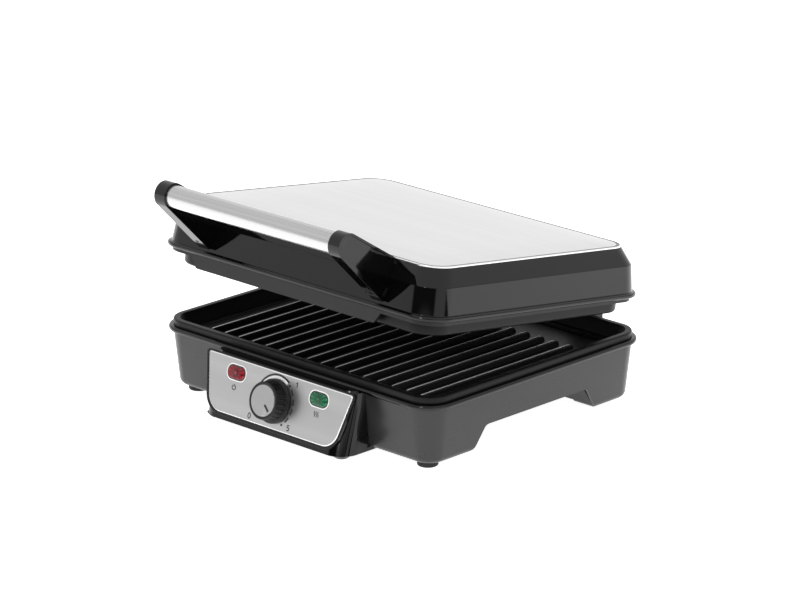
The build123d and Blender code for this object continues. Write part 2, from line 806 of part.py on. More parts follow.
# Hinge posts: sliding uprights with an eye above and a retaining flange below
for name, x in (("hinge_post_left", -hinge_x), ("hinge_post_right", hinge_x)):
    with BuildPart() as post:
        with BuildSketch(side(x - post_width / 2)):
            with Locations((hinge_back, pivot_z)):
                Circle(hinge_eye)
            with Locations((hinge_back, (pivot_z + post_foot_z) / 2)):
                Rectangle(post_depth, pivot_z - post_foot_z)
        extrude(amount=post_width)
        with BuildSketch(level(post_foot_z)):
            with Locations((x, hinge_back)):
                Rectangle(post_width + 2 * post_flange, post_depth)
        extrude(amount=post_flange_depth)
        with BuildSketch(side(x - post_width)):
            with Locations((hinge_back, pivot_z)):
                Circle(pin_radius + running_gap)
        extrude(amount=2 * post_width, mode=Mode.SUBTRACT)
    save(post, name)

# Hinge pins: two headed steel pins through the posts and the ears of the lid
pin_half = post_width / 2 + body_gap + ear_width
with BuildPart() as hinge_pins:
    for x in (-hinge_x, hinge_x):
        with BuildSketch(side(x - pin_half)):
            with Locations((hinge_back, pivot_z)):
                Circle(pin_radius)
        extrude(amount=2 * pin_half)
        for start, way in ((x - pin_half - seat_gap, -1), (x + pin_half + seat_gap, 1)):
            with BuildSketch(side(start)):
                with Locations((hinge_back, pivot_z)):
                    Circle(pin_radius + sheet)
            extrude(amount=way * sheet)
            with BuildSketch(side(start - way * seat_gap * 2)):
                with Locations((hinge_back, pivot_z)):
                    Circle(pin_radius)
            extrude(amount=way * sheet)
save(hinge_pins, "hinge_pins")


def lid_section(z, inset, corner):
    """One rounded section of the lid at height z above its bead."""
    with BuildSketch(lid_level(z), mode=Mode.PRIVATE) as section:
        outline(inset, corner)
    return section.sketch.face()


def lid_sections(shrink, foot, top):
    """Sections of the lid's two bands, drawn in by a wall: foot, knee and top edge."""
    knee = lid_knee_z - shrink / 2
    band_run = (lid_knee_inset - lid_band_inset) / lid_knee_z
    top_run = (lid_top_inset - lid_knee_inset) / (lid_top_z - lid_knee_z)
    top_inset = lid_knee_inset + (top - knee) * top_run
    return [
        lid_section(foot, lid_band_inset + foot * band_run + shrink, lid_corner - shrink),
        lid_section(knee, lid_knee_inset + shrink, lid_corner - sheet - shrink),
        lid_section(top, top_inset + shrink, lid_top_corner - shrink),
    ]


# Inner face of the lid with a seat gap, which shapes what is screwed against it
with BuildPart() as lid_lining:
    loft(lid_sections(shell + seat_gap, lid_bead_foot, lid_top_z - shell - seat_gap), ruled=True)

lid_axis = Axis(lid_level(0).origin, lid_level(0).z_dir)

# Outer envelope of the lid, used to seat the handle brackets against its front
with BuildPart() as lid_envelope:
    loft(lid_sections(-seat_gap / 2, lid_bead_foot, lid_top_z + top_sheet + seat_gap), ruled=True)

# Hollow of the lid under its deck
with BuildPart() as lid_cavity:
    loft(lid_sections(shell, lid_bead_foot - shell, lid_top_z - shell), ruled=True)

# Lid cover: glossy black shell with its bead, deck, arm windows and inner screw bosses
block_top = hinge_up + hinge_eye + seat_gap
block_foot = hinge_up - hinge_eye - seat_gap
block_half = post_width / 2 + body_gap + ear_width
block_rear = hinge_back - hinge_eye - body_gap
arm_foot_y = bead_depth / 2 - lid_knee_inset - shell - seat_gap - guide_wall
arm_screw_tip = bead_depth / 2 - lid_knee_inset - shell + sheet * 1.6
arm_flange_side = 3 * screw_head
arm_reach = block_half + arm_flange_side / 2
arm_screw_spots = [way * hinge_x + side_way * arm_reach for way in (-1, 1) for side_way in (-1, 1)]
boss_y = bead_depth / 2 - (frame_inset + frame_opening) / 2 - boss_radius
lid_screws_at = [(x, y) for x in (-foot_x / 2, foot_x / 2) for y in (-boss_y, boss_y)]
handle_x = bracket_inner + bracket_width / 2
handle_screws_at = [(x, z) for x in (-handle_x, handle_x) for z in (handle_bolt_low, handle_bolt_high)]
boss_hollow = lid_top_z / 2
with BuildPart() as lid_cover:
    loft(lid_sections(0, 0, lid_top_z), ruled=True)
    fillet(lid_cover.faces().sort_by(lid_axis)[-1].edges(), sheet)
    with BuildSketch(lid_level(lid_bead_foot)):
        outline(0, bead_corner)
    extrude(amount=2 * bead_radius)
    bead_edges = lid_cover.faces().sort_by(lid_axis)[0].edges()
    fillet(bead_edges, bead_radius * 0.9)
    add(lid_cavity.part, mode=Mode.SUBTRACT)
    with BuildSketch(lid_level(lid_bead_foot)):
        with Locations(*lid_screws_at):
            Circle(boss_radius)
    extrude(amount=lid_top_z - shell - lid_bead_foot)
    with BuildSketch(lid_level(lid_bead_foot)):
        with Locations(*lid_screws_at):
            Circle(screw_radius + running_gap)
    extrude(amount=boss_hollow, mode=Mode.SUBTRACT)
    with BuildSketch(lid_rear_face(bead_depth / 2 - 6 * shell)):
        with Locations((-hinge_x, hinge_up), (hinge_x, hinge_up)):
            Rectangle(2 * block_half + 2 * seat_gap, block_top - block_foot + 2 * seat_gap)
    extrude(amount=8 * shell, mode=Mode.SUBTRACT)
    with BuildSketch(lid_rear_face(-bead_depth / 2 - shell)):
        with Locations(*handle_screws_at):
            Circle(bolt_radius + running_gap)
    extrude(amount=6 * shell, mode=Mode.SUBTRACT)
    with BuildSketch(lid_rear_face(arm_screw_tip + running_gap)):
        with Locations(*[(-spot, hinge_up) for spot in arm_screw_spots]):
            Circle(screw_radius + running_gap)
    extrude(amount=-3 * shell, mode=Mode.SUBTRACT)
save(lid_cover, "lid_cover")

# Lid top plate: brushed sheet over the deck with a rounded edge
with BuildPart() as lid_top_plate:
    with BuildSketch(lid_level(lid_top_z)):
        outline(lid_top_inset, lid_top_corner)
    extrude(amount=top_sheet)
    fillet(lid_top_plate.faces().sort_by(lid_axis)[-1].edges(), top_sheet / 2)
save(lid_top_plate, "lid_top_plate")

# Lid frame: ring under the cover with an upright spigot, and an apron along the front
spigot_inset = lid_band_inset + shell + seat_gap
frame_top_z = lid_bead_foot - seat_gap
boss_x = bead_width / 2 - upper_inset - shell / 2 - boss_radius
upper_screws_at = [(x, y) for x in (-boss_x, boss_x) for y in (-foot_y / 2, foot_y / 2)]
with BuildPart() as lid_frame:
    with BuildSketch(lid_level(frame_foot_z)):
        outline(frame_inset, bead_corner - frame_inset)
        RectangleRounded(
            bead_width - 2 * frame_opening,
            bead_depth - 2 * frame_opening,
            base_edge,
            mode=Mode.SUBTRACT,
        )
    extrude(amount=frame_top_z - frame_foot_z)
    with BuildSketch(lid_level(frame_top_z)):
        outline(spigot_inset, lid_corner - spigot_inset + lid_band_inset)
        RectangleRounded(
            bead_width - 2 * (spigot_inset + shell),
            bead_depth - 2 * (spigot_inset + shell),
            bead_corner / 2,
            mode=Mode.SUBTRACT,
        )
    extrude(amount=4 * sheet)
    apron_face = lid_rear_face(-bead_depth / 2 + frame_inset)
    with BuildSketch(apron_face) as apron:
        Polygon(
            (-apron_right, frame_foot_z + sheet),
            (apron_left, frame_foot_z + sheet),
            (apron_left, frame_foot_z - sheet),
            (apron_left - apron_taper, apron_z),
            (-apron_right + apron_taper, apron_z),
            (-apron_right, frame_foot_z - sheet),
            align=None,
        )
        fillet(apron.vertices().group_by(Axis.Y)[0], apron_taper / 2)
    extrude(amount=shell)
    with BuildSketch(lid_level(frame_foot_z)):
        with Locations(*lid_screws_at, *upper_screws_at):
            Circle(screw_radius + running_gap)
    extrude(amount=4 * shell, mode=Mode.SUBTRACT)
save(lid_frame, "lid_frame")

# Frame screws: four pan screws from under the ring into the bosses of the cover
with BuildPart() as lid_screws:
    with BuildSketch(lid_level(frame_foot_z - running_gap)):
        with Locations(*lid_screws_at):
            Circle(screw_head)
    extrude(amount=-screw_head_depth)
    with BuildSketch(lid_level(frame_foot_z - running_gap)):
        with Locations(*lid_screws_at):
            Circle(screw_radius)
    extrude(amount=boss_hollow - shell)
save(lid_screws, "lid_screws")

# Upper grill plate: cast tray with ribs below and four inner bosses
upper_top_z = frame_foot_z - seat_gap
upper_sole_z = upper_foot_z + plate_metal
upper_rib_middle = (upper_rib_front + rib_rear) / 2
upper_rib_length = rib_rear - upper_rib_front
with BuildPart() as upper_grill_plate:
    with BuildSketch(lid_level(upper_foot_z)):
        outline(upper_inset, upper_corner)
    extrude(amount=upper_top_z - upper_foot_z)
    fillet(upper_grill_plate.faces().sort_by(lid_axis)[0].edges(), shell)
    with BuildSketch(lid_level(upper_sole_z)):
        outline(upper_inset + shell, upper_corner - shell)
    extrude(amount=bead_radius * 8, mode=Mode.SUBTRACT)
    with BuildSketch(lid_level(upper_sole_z)):
        with Locations(*upper_screws_at):
            Circle(boss_radius)
    extrude(amount=upper_top_z - upper_sole_z)
    with BuildSketch(lid_level(upper_sole_z)):
        with Locations(*upper_screws_at):
            Circle(screw_radius + running_gap)
    extrude(amount=upper_top_z - upper_sole_z, mode=Mode.SUBTRACT)
    for index in range(rib_count):
        rib_x = (index - (rib_count - 1) / 2) * rib_pitch
        with BuildSketch(lid_level(upper_foot_z + rib_root)):
            with Locations((rib_x, upper_rib_middle)):
                Rectangle(rib_base, upper_rib_length)
        with BuildSketch(lid_level(upper_foot_z - upper_rib_height)):
            with Locations((rib_x, upper_rib_middle)):
                Rectangle(rib_top, upper_rib_length - upper_rib_height)
        loft(ruled=True)
save(upper_grill_plate, "upper_grill_plate")

# Upper plate screws: four pan screws through the ring into the bosses of the plate
with BuildPart() as upper_plate_screws:
    with BuildSketch(lid_level(frame_top_z + running_gap)):
        with Locations(*upper_screws_at):
            Circle(screw_head)
    extrude(amount=screw_head_depth)
    with BuildSketch(lid_level(frame_top_z + running_gap)):
        with Locations(*upper_screws_at):
            Circle(screw_radius)
    extrude(amount=upper_sole_z + shell - frame_top_z)
save(upper_plate_screws, "upper_plate_screws")

element(lid_level(upper_sole_z + seat_gap + element_radius), "upper_heating_element")
reflector(lambda z: lid_level(upper_sole_z + seat_gap + reflector_depth + z), -1, "upper_reflector")

# Lid arms: forks whose blocks pass through the rear of the cover to hold the posts' eyes
for name, x in (("lid_arm_left", -hinge_x), ("lid_arm_right", hinge_x)):
    with BuildPart() as flange:
        with BuildSketch(lid_rear_face(arm_foot_y)):
            with Locations((-x, hinge_up)):
                Rectangle(2 * (block_half + arm_flange_side), block_top - block_foot - 2 * seat_gap)
        extrude(amount=4 * guide_wall)
        add(lid_lining.part, mode=Mode.INTERSECT)
    with BuildPart() as arm:
        with BuildSketch(lid_side(x - block_half)):
            with Locations((hinge_back, hinge_up)):
                Circle(hinge_eye)
            with Locations(((arm_foot_y + hinge_back) / 2, hinge_up)):
                Rectangle(hinge_back - arm_foot_y, block_top - block_foot - 2 * seat_gap)
        extrude(amount=2 * block_half)
        with BuildSketch(lid_side(x - post_width / 2 - body_gap)):
            with Locations((block_rear + 2 * hinge_eye, hinge_up)):
                Rectangle(4 * hinge_eye, 4 * hinge_eye)
        extrude(amount=post_width + 2 * body_gap, mode=Mode.SUBTRACT)
        with BuildSketch(lid_side(x - 2 * block_half)):
            with Locations((hinge_back, hinge_up)):
                Circle(pin_radius + running_gap)
        extrude(amount=4 * block_half, mode=Mode.SUBTRACT)
        add(flange.part)
        with BuildSketch(lid_rear_face(arm_foot_y - guide_wall)):
            with Locations(*[(-spot, hinge_up) for spot in arm_screw_spots]):
                Circle(screw_radius + running_gap)
        extrude(amount=4 * guide_wall, mode=Mode.SUBTRACT)
    save(arm, name)

# Arm screws: four pan screws through the arms' flanges into the rear of the cover
with BuildPart() as arm_screws:
    with BuildSketch(lid_rear_face(arm_foot_y - running_gap)):
        with Locations(*[(-spot, hinge_up) for spot in arm_screw_spots]):
            Circle(screw_head)
    extrude(amount=-screw_head_depth)
    with BuildSketch(lid_rear_face(arm_foot_y - running_gap)):
        with Locations(*[(-spot, hinge_up) for spot in arm_screw_spots]):
            Circle(screw_radius)
    extrude(amount=arm_screw_tip - arm_foot_y + running_gap)
save(arm_screws, "arm_screws")

# Handle brackets: webs that carry the tube in a round nose, dished on their outer faces
tube_half = bracket_inner + bracket_socket - seat_gap


def bracket_outline():
    """Hull of the round nose and the two corners where the web meets the lid."""
    with Locations((handle_y, handle_z)):
        Circle(nose_radius)
    Polygon(
        (-bead_depth / 2, bracket_foot_z),
        (-bead_depth / 2 + lid_top_inset - body_gap, lid_top_z + top_sheet / 2),
        (-bead_depth / 2 + lid_top_inset - body_gap, lid_knee_z),
        align=None,
    )
    make_hull()


def bracket_dish():
    """Sunk middle of a bracket's outer face, with a wider rim in front and below."""
    with BuildSketch(Plane.XY, mode=Mode.PRIVATE) as dish:
        bracket_outline()
        offset(amount=-bracket_rim, mode=Mode.REPLACE)
    with Locations((bracket_rim_shift, bracket_rim_shift / 2)):
        add(dish.sketch)


for name, way in (("handle_bracket_left", -1), ("handle_bracket_right", 1)):
    with BuildPart() as bracket:
        with BuildSketch(lid_side(way * bracket_inner)):
            bracket_outline()
        extrude(amount=way * bracket_width)
        add(lid_envelope.part, mode=Mode.SUBTRACT)
        with BuildSketch(lid_level(lid_bead_foot - seat_gap)):
            outline(-seat_gap, bead_corner)
        extrude(amount=2 * bead_radius + 2 * seat_gap, mode=Mode.SUBTRACT)
        with BuildSketch(lid_side(way * (bracket_inner + bracket_width - bracket_recess))):
            bracket_dish()
        extrude(amount=way * bracket_recess, mode=Mode.SUBTRACT)
        with BuildSketch(lid_side(way * bracket_inner)):
            with Locations((handle_y, handle_z)):
                Circle(tube_radius + running_gap)
        extrude(amount=way * bracket_socket, mode=Mode.SUBTRACT)
        with BuildSketch(lid_rear_face(-bead_depth / 2 - 4 * shell)):
            with Locations(*[(-way * handle_x, z) for _, z in handle_screws_at[:2]]):
                Circle(bolt_radius + running_gap)
        extrude(amount=8 * shell, mode=Mode.SUBTRACT)
    save(bracket, name)

# Handle tube: brushed steel tube between the brackets
with BuildPart() as handle_tube:
    with BuildSketch(lid_side(-tube_half)):
        with Locations((handle_y, handle_z)):
            Circle(tube_radius)
            Circle(tube_radius - tube_wall, mode=Mode.SUBTRACT)
    extrude(amount=2 * tube_half)
save(handle_tube, "handle_tube")

# Handle screws: four pan bolts from inside the lid's front into the brackets
bolt_reach = bead_depth / 2 + handle_bolt_bite
with BuildPart() as handle_screws:
    for x, z in handle_screws_at:
        inner_y = -bead_depth / 2 + lid_band_inset + shell + z * (lid_knee_inset - lid_band_inset) / lid_knee_z
        head_y = inner_y + sheet
        with BuildSketch(lid_rear_face(head_y)):
            with Locations((x, z)):
                Circle(bolt_head)
        extrude(amount=screw_head_depth)
        with BuildSketch(lid_rear_face(-bolt_reach)):
            with Locations((x, z)):
                Circle(bolt_radius)
        extrude(amount=bolt_reach + head_y)
save(handle_screws, "handle_screws")
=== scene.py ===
# %% [markdown]
# A contact grill is two cast plates in two moulded housings. The lid stands ajar on a floating
# hinge, a steel tube crosses its front as the handle, and a tilted panel carries the dial.
# The solids of the construction model are already in place, in metres, and they stay as they
# are. This lesson gives every one of them a finish, and remakes the pieces whose edges, ribs
# and prints the eye looks for. Loading the frame comes first, because all else hangs on it.

# %% Load the frame
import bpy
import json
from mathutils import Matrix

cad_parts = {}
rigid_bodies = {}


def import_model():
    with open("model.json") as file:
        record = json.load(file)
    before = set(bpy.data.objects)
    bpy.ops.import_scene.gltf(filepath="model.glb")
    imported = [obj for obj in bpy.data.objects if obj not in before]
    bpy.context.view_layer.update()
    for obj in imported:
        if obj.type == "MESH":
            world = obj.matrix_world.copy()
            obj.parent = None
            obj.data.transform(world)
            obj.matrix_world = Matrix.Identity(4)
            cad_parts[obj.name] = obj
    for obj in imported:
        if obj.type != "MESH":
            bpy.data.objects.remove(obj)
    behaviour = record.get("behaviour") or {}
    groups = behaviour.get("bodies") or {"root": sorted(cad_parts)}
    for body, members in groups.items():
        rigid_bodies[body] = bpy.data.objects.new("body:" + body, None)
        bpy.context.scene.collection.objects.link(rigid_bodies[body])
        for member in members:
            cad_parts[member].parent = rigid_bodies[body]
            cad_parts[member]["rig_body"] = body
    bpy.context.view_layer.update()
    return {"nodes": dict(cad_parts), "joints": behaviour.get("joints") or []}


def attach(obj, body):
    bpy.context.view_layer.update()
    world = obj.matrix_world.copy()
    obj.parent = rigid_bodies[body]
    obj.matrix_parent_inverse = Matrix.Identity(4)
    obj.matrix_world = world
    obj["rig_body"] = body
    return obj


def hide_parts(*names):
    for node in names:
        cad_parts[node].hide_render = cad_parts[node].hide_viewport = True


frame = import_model()

# %% [markdown]
# Sizes below are typed in millimetres, as on a drawing, and turned to metres in one place. The
# solids are found by their names, and so are the joints.

# %% Tools of the lesson
import json
from math import atan2, cos, pi, radians, sin, tan, tau

import bmesh
import bpy
from mathutils import Matrix, Vector

MM = 0.001
NODES = frame["nodes"]
JOINTS = {joint["name"]: joint for joint in frame["joints"]}

# %% [markdown]
# The lid lies in its own tilted plane and the dial in the plane of the panel. Both planes can
# be read from the joints: the hinge pin is 150 mm behind the middle of the lid and 17 mm above
# its bead, and the knob turns about the middle of the panel. Working in these planes lets a
# size be typed as it would be on the drawing of the piece.

# %% Planes of the base, the lid and the panel
REST_TILT = radians(8.0)
PANEL_TILT = radians(16.0)
HINGE_BACK = 150.0
HINGE_UP = 17.0


def plane(origin, x_axis, y_axis):
    """Matrix from millimetres in a plane of the object to metres in the frame."""
    z_axis = x_axis.cross(y_axis)
    turn = Matrix((x_axis, y_axis, z_axis)).transposed().to_4x4()
    return Matrix.Translation(origin) @ turn @ Matrix.Scale(MM, 4)


EAST = Vector((1, 0, 0))
PIN = Vector(JOINTS["lid_tilt"]["pos_m"])
LID_BACK = Vector((0, cos(REST_TILT), -sin(REST_TILT)))
LID_UP = Vector((0, sin(REST_TILT), cos(REST_TILT)))
LID = plane(PIN - (HINGE_BACK * LID_BACK + HINGE_UP * LID_UP) * MM, EAST, LID_BACK)
BASE = plane(Vector((0, PIN.y - HINGE_BACK * MM, 0)), EAST, Vector((0, 1, 0)))
PANEL_UP = Vector((0, sin(PANEL_TILT), cos(PANEL_TILT)))
PANEL = plane(Vector(JOINTS["knob_turn"]["pos_m"]), EAST, PANEL_UP)
print("lid plane at", [round(v, 4) for v in LID.translation])

# %% [markdown]
# Colours are written as the hex values a painter would pick from a screen, and one function
# turns them to the linear values that light adds up in. Another adds one shader node with its
# settings and links, so that each finish below reads as a short recipe.

# %% Colour and node helpers


def srgb(code):
    """Linear colour with alpha from a hex value such as 3c3c3d."""
    parts = [int(code[i:i + 2], 16) / 255 for i in (0, 2, 4)]
    linear = [c / 12.92 if c <= 0.04045 else ((c + 0.055) / 1.055) ** 2.4 for c in parts]
    return (*linear, 1.0)


def add(tree, kind, feeds=None, **settings):
    """One node with its settings; feeds gives its inputs a value or another node's socket."""
    made = tree.nodes.new(kind)
    for name, value in settings.items():
        setattr(made, name, value)
    for name, value in (feeds or {}).items():
        if isinstance(value, bpy.types.NodeSocket):
            tree.links.new(value, made.inputs[name])
        else:
            made.inputs[name].default_value = value
    return made


def finish(name, colour, **sockets):
    """A new material with a principled shader whose plain sockets are set directly."""
    made = bpy.data.materials.new(name)
    made.use_nodes = True
    shader = made.node_tree.nodes["Principled BSDF"]
    shader.inputs["Base Color"].default_value = srgb(colour)
    for socket, value in sockets.items():
        shader.inputs[socket.replace("_", " ")].default_value = value
    made.diffuse_color = srgb(colour)
    return made, made.node_tree, shader


def band(tree, value, low, high):
    """Maps a 0 to 1 value on to a narrow band."""
    limits = {"Value": value, "To Min": low, "To Max": high}
    return add(tree, "ShaderNodeMapRange", limits).outputs[0]


def grain(tree, size, stretch=(1, 1, 1), detail=4.0):
    """Noise on object coordinates whose grain is a real size in millimetres."""
    place = add(tree, "ShaderNodeTexCoord").outputs["Object"]
    pulled = add(tree, "ShaderNodeMapping", {"Vector": place, "Scale": stretch})
    cloud = {"Vector": pulled.outputs[0], "Scale": 1 / (size * MM), "Detail": detail}
    return add(tree, "ShaderNodeTexNoise", cloud).outputs["Fac"]


def blend(tree, value, low, high):
    """Colour between two hex values along a 0 to 1 value."""
    mix = add(tree, "ShaderNodeMix", {"Factor": value}, data_type="RGBA")
    mix.inputs["A"].default_value = srgb(low)
    mix.inputs["B"].default_value = srgb(high)
    return mix.outputs["Result"]


def relief(tree, shader, height, depth):
    """Feeds a height into the shader as bump, depth in millimetres."""
    bump = add(tree, "ShaderNodeBump", {"Height": height, "Strength": 1.0, "Distance": depth * MM})
    tree.links.new(bump.outputs[0], shader.inputs["Normal"])
    return bump

# %% [markdown]
# The picture was taken with a long lens from the right of the front, a little above. The camera
# below stands in the same place: its lens and distance were worked out from the object's own
# straight edges, so that lines meet the frame where they should.

# %% Camera
camera_data = bpy.data.cameras.new("camera")
camera_data.lens = 188.3
camera_data.sensor_width = 36.0
camera_data.clip_end = 60.0
camera = bpy.data.objects.new("camera", camera_data)
bpy.context.scene.collection.objects.link(camera)
azimuth, elevation = radians(44.169), radians(17.965)
towards = Vector((sin(azimuth) * cos(elevation), -cos(azimuth) * cos(elevation), sin(elevation)))
camera.location = (2.3958, -2.4558, 1.2019)
camera.rotation_euler = (-towards).to_track_quat("-Z", "Y").to_euler()
bpy.context.scene.camera = camera
print("camera stands", round(camera.location.length, 3), "m from the middle of the table")

# %% [markdown]
# A product table is lit by white all round, which is what glossy black plastic mirrors: it
# would vanish without something bright to reflect. The table glows as well, so it stays white
# under the object, and that hides the soft shadow which a real table keeps. Two dark cards, a
# wide one across the front and a narrow one at the right, draw the dark bands in the rounded
# corners. One small bright window over the wide card, left of the lens, draws the glints. All
# three are soft patches painted into the sky, and they were moved until the reflections agreed
# with the picture: they are no record of the studio it was taken in.

# %% Floor, sky and soft panels
floor_mesh = bpy.data.meshes.new("floor")
FLOOR_HALF = 14.0
corners = [(x * FLOOR_HALF, y * FLOOR_HALF, 0) for x, y in ((-1, -1), (1, -1), (1, 1), (-1, 1))]
floor_mesh.from_pydata(corners, [], [(0, 1, 2, 3)])
floor = bpy.data.objects.new("floor", floor_mesh)
bpy.context.scene.collection.objects.link(floor)
floor_paper, _, paper = finish("lit_white_table", "f2f2f2", Roughness=0.8, Emission_Strength=0.95)
paper.inputs["Emission Color"].default_value = srgb("ffffff")
floor_mesh.materials.append(floor_paper)

sky = bpy.data.worlds.new("studio_sky")
bpy.context.scene.world = sky
sky.use_nodes = True
sky_tree = sky.node_tree
sky_light = sky_tree.nodes["Background"]
sky_light.inputs["Color"].default_value = srgb("ffffff")
bpy.context.scene.view_settings.view_transform = "Standard"
direction = add(sky_tree, "ShaderNodeTexCoord").outputs["Generated"]
ray = add(sky_tree, "ShaderNodeSeparateXYZ", {0: direction})


def calc(tree, operation, *values):
    """Arithmetic on numbers or sockets."""
    return add(tree, "ShaderNodeMath", dict(enumerate(values)), operation=operation).outputs[0]


def ramp(value, start, end):
    """Soft step from 0 to 1 while a value of the sky runs from start to end."""
    step = add(sky_tree, "ShaderNodeMapRange", {"Value": value}, interpolation_type="SMOOTHSTEP")
    step.inputs["From Min"].default_value = start
    step.inputs["From Max"].default_value = end
    return step.outputs[0]


forward = calc(sky_tree, "MULTIPLY", ray.outputs[1], -1.0)
SKY_AZIMUTH = calc(sky_tree, "ARCTAN2", ray.outputs[0], forward)
SKY_HEIGHT = calc(sky_tree, "ARCSINE", ray.outputs[2])


def patch(middle, half, low, high, soft=4.0):
    """Soft patch of the sky round an azimuth, between two elevations, all in degrees."""
    away = calc(sky_tree, "ABSOLUTE", calc(sky_tree, "SUBTRACT", SKY_AZIMUTH, radians(middle)))
    across = ramp(away, radians(half + soft), radians(half - soft))
    foot = ramp(SKY_HEIGHT, radians(low - soft), radians(low + soft))
    top = ramp(SKY_HEIGHT, radians(high + soft), radians(high - soft))
    return calc(sky_tree, "MULTIPLY", across, calc(sky_tree, "MULTIPLY", foot, top))


# Azimuth, half width, lowest and highest elevation, softness and what it adds to the white
SKY_PATCHES = [
    (13, 49, -10, 20, 5, -0.96),
    (122, 16, -10, 15, 5, -0.9),
    (12, 5, 27, 34, 2, 25.0),
]
sky_value = 1.0
for middle, half, low, high, soft, change in SKY_PATCHES:
    shaped = calc(sky_tree, "MULTIPLY", patch(middle, half, low, high, soft), change)
    sky_value = calc(sky_tree, "ADD", shaped, sky_value)
sky_tree.links.new(calc(sky_tree, "MAXIMUM", sky_value, 0.0), sky_light.inputs["Strength"])
print("sky patches", len(SKY_PATCHES), "nodes", len(sky_tree.nodes))

# %% [markdown]
# Moulded gloss ABS is the black of the lid, the control box, the brackets and the bead. It is
# dark all through and its skin copies a polished mould, so it mirrors the room with a faint
# long ripple where the plastic shrank, and gathers a few soft smears where hands touch it.
# Real ABS has an IOR of about 1.54; the lower one here agrees better with the picture's tones.

# %% Moulded gloss ABS
gloss_abs, tree, shader = finish("moulded_gloss_abs", "050505", Roughness=0.06, IOR=1.42)
smear = grain(tree, 18.0, detail=2.0)
tree.links.new(band(tree, smear, 0.04, 0.09), shader.inputs["Roughness"])
tree.links.new(blend(tree, grain(tree, 60.0), "040404", "080808"), shader.inputs["Base Color"])
relief(tree, shader, grain(tree, 26.0, detail=1.0), 0.02)
print(gloss_abs.name, "nodes", len(tree.nodes))

# %% [markdown]
# The base housing is ABS too, pigmented graphite grey and moulded in a finely spark-eroded
# tool, which leaves a satin skin with a pebble of about half a millimetre. Its real grit would
# not show at this size, so it is drawn a little coarser, and the tone drifts very slightly.

# %% Spark-eroded graphite ABS
graphite_abs, tree, shader = finish("spark_eroded_graphite_abs", "262627", Roughness=0.28, IOR=1.45)
tree.links.new(blend(tree, grain(tree, 40.0), "232324", "29292a"), shader.inputs["Base Color"])
tree.links.new(band(tree, grain(tree, 12.0), 0.22, 0.30), shader.inputs["Roughness"])
relief(tree, shader, grain(tree, 0.9, detail=1.0), 0.0006)
print(graphite_abs.name, "nodes", len(tree.nodes))

# %% [markdown]
# The knob, the lid's frame, the hinge and the hidden pieces are glass-filled nylon, black with
# a dull skin in which the short fibres leave a faint flow pattern. Its IOR is again set lower
# than the real 1.53 or so, by the picture's tones.

# %% Glass-filled black nylon
black_nylon, tree, shader = finish("glass_filled_black_nylon", "0a0a0a", Roughness=0.4, IOR=1.4)
flow = grain(tree, 2.2, stretch=(0.25, 1, 1))
tree.links.new(blend(tree, flow, "080808", "0e0e0e"), shader.inputs["Base Color"])
tree.links.new(band(tree, flow, 0.36, 0.5), shader.inputs["Roughness"])
relief(tree, shader, grain(tree, 0.8), 0.02)
print(black_nylon.name, "nodes", len(tree.nodes))

# %% [markdown]
# The grill plates are die-cast aluminium sprayed with a non-stick fluoropolymer. The coat is
# black and satin, slightly orange-peeled over the casting, and fine mineral flecks give it a
# dry sparkle. The thin light line on each rib is a painted highlight: the pale crest material
# below draws it, and it is no coat or wear of the real plate.
# The IOR lies under the coating's real 1.35, because the pictured plate mirrors very little.

# %% Sprayed non-stick coating
non_stick, tree, shader = finish("sprayed_non_stick", "090909", Roughness=0.36, IOR=1.28)
peel = grain(tree, 1.4, detail=2.0)
fleck = add(tree, "ShaderNodeTexVoronoi", {
    "Vector": add(tree, "ShaderNodeTexCoord").outputs["Object"], "Scale": 1 / (0.9 * MM)})
speck = add(tree, "ShaderNodeMath", {0: fleck.outputs["Distance"], 1: 0.12}, operation="LESS_THAN")
tree.links.new(blend(tree, speck.outputs[0], "090909", "202020"), shader.inputs["Base Color"])
tree.links.new(band(tree, peel, 0.32, 0.46), shader.inputs["Roughness"])
relief(tree, shader, peel, 0.03)
# The crest material is a painted highlight: a pale colour with lighter streaks for the light on
# each crest.
crest_painted_highlight, tree, shader = finish("non_stick_crest_painted_highlight", "c4c4c4", Roughness=0.34, IOR=1.45)
streaks = grain(tree, 1.2, stretch=(1, 0.1, 1))
tree.links.new(blend(tree, streaks, "c8c8c8", "e6e6e6"), shader.inputs["Base Color"])
print(non_stick.name, "and", crest_painted_highlight.name)

# %% [markdown]
# Brushed sheet: stainless steel or aluminium drawn past an abrasive belt. Each grit leaves a
# groove some tenths of a millimetre wide and many centimetres long. Stretching a noise along
# the belt's path makes those grooves, and it moves both the roughness and the tone. The lid's
# sheet is brushed from side to side and so is the panel's; the tube is drawn along its length.


# %% Brushed metals
def brushed(name, light, dark, low, high, stretch=(0.004, 1, 1), groove=0.28):
    """A metal sheet brushed along the axis with the smallest stretch."""
    made, tree, shader = finish(name, light, Metallic=1.0, Roughness=low)
    lines = grain(tree, groove, stretch=stretch, detail=3.0)
    broad = grain(tree, 14.0, stretch=stretch, detail=1.0)
    tone = add(tree, "ShaderNodeMath", {0: lines, 1: broad}, operation="MULTIPLY_ADD")
    tone.inputs[1].default_value = 0.6
    tree.links.new(broad, tone.inputs[2])
    half = add(tree, "ShaderNodeMath", {0: tone.outputs[0], 1: 0.62}, operation="MULTIPLY")
    tree.links.new(blend(tree, half.outputs[0], dark, light), shader.inputs["Base Color"])
    tree.links.new(band(tree, lines, low, high), shader.inputs["Roughness"])
    relief(tree, shader, lines, 0.006)
    return made


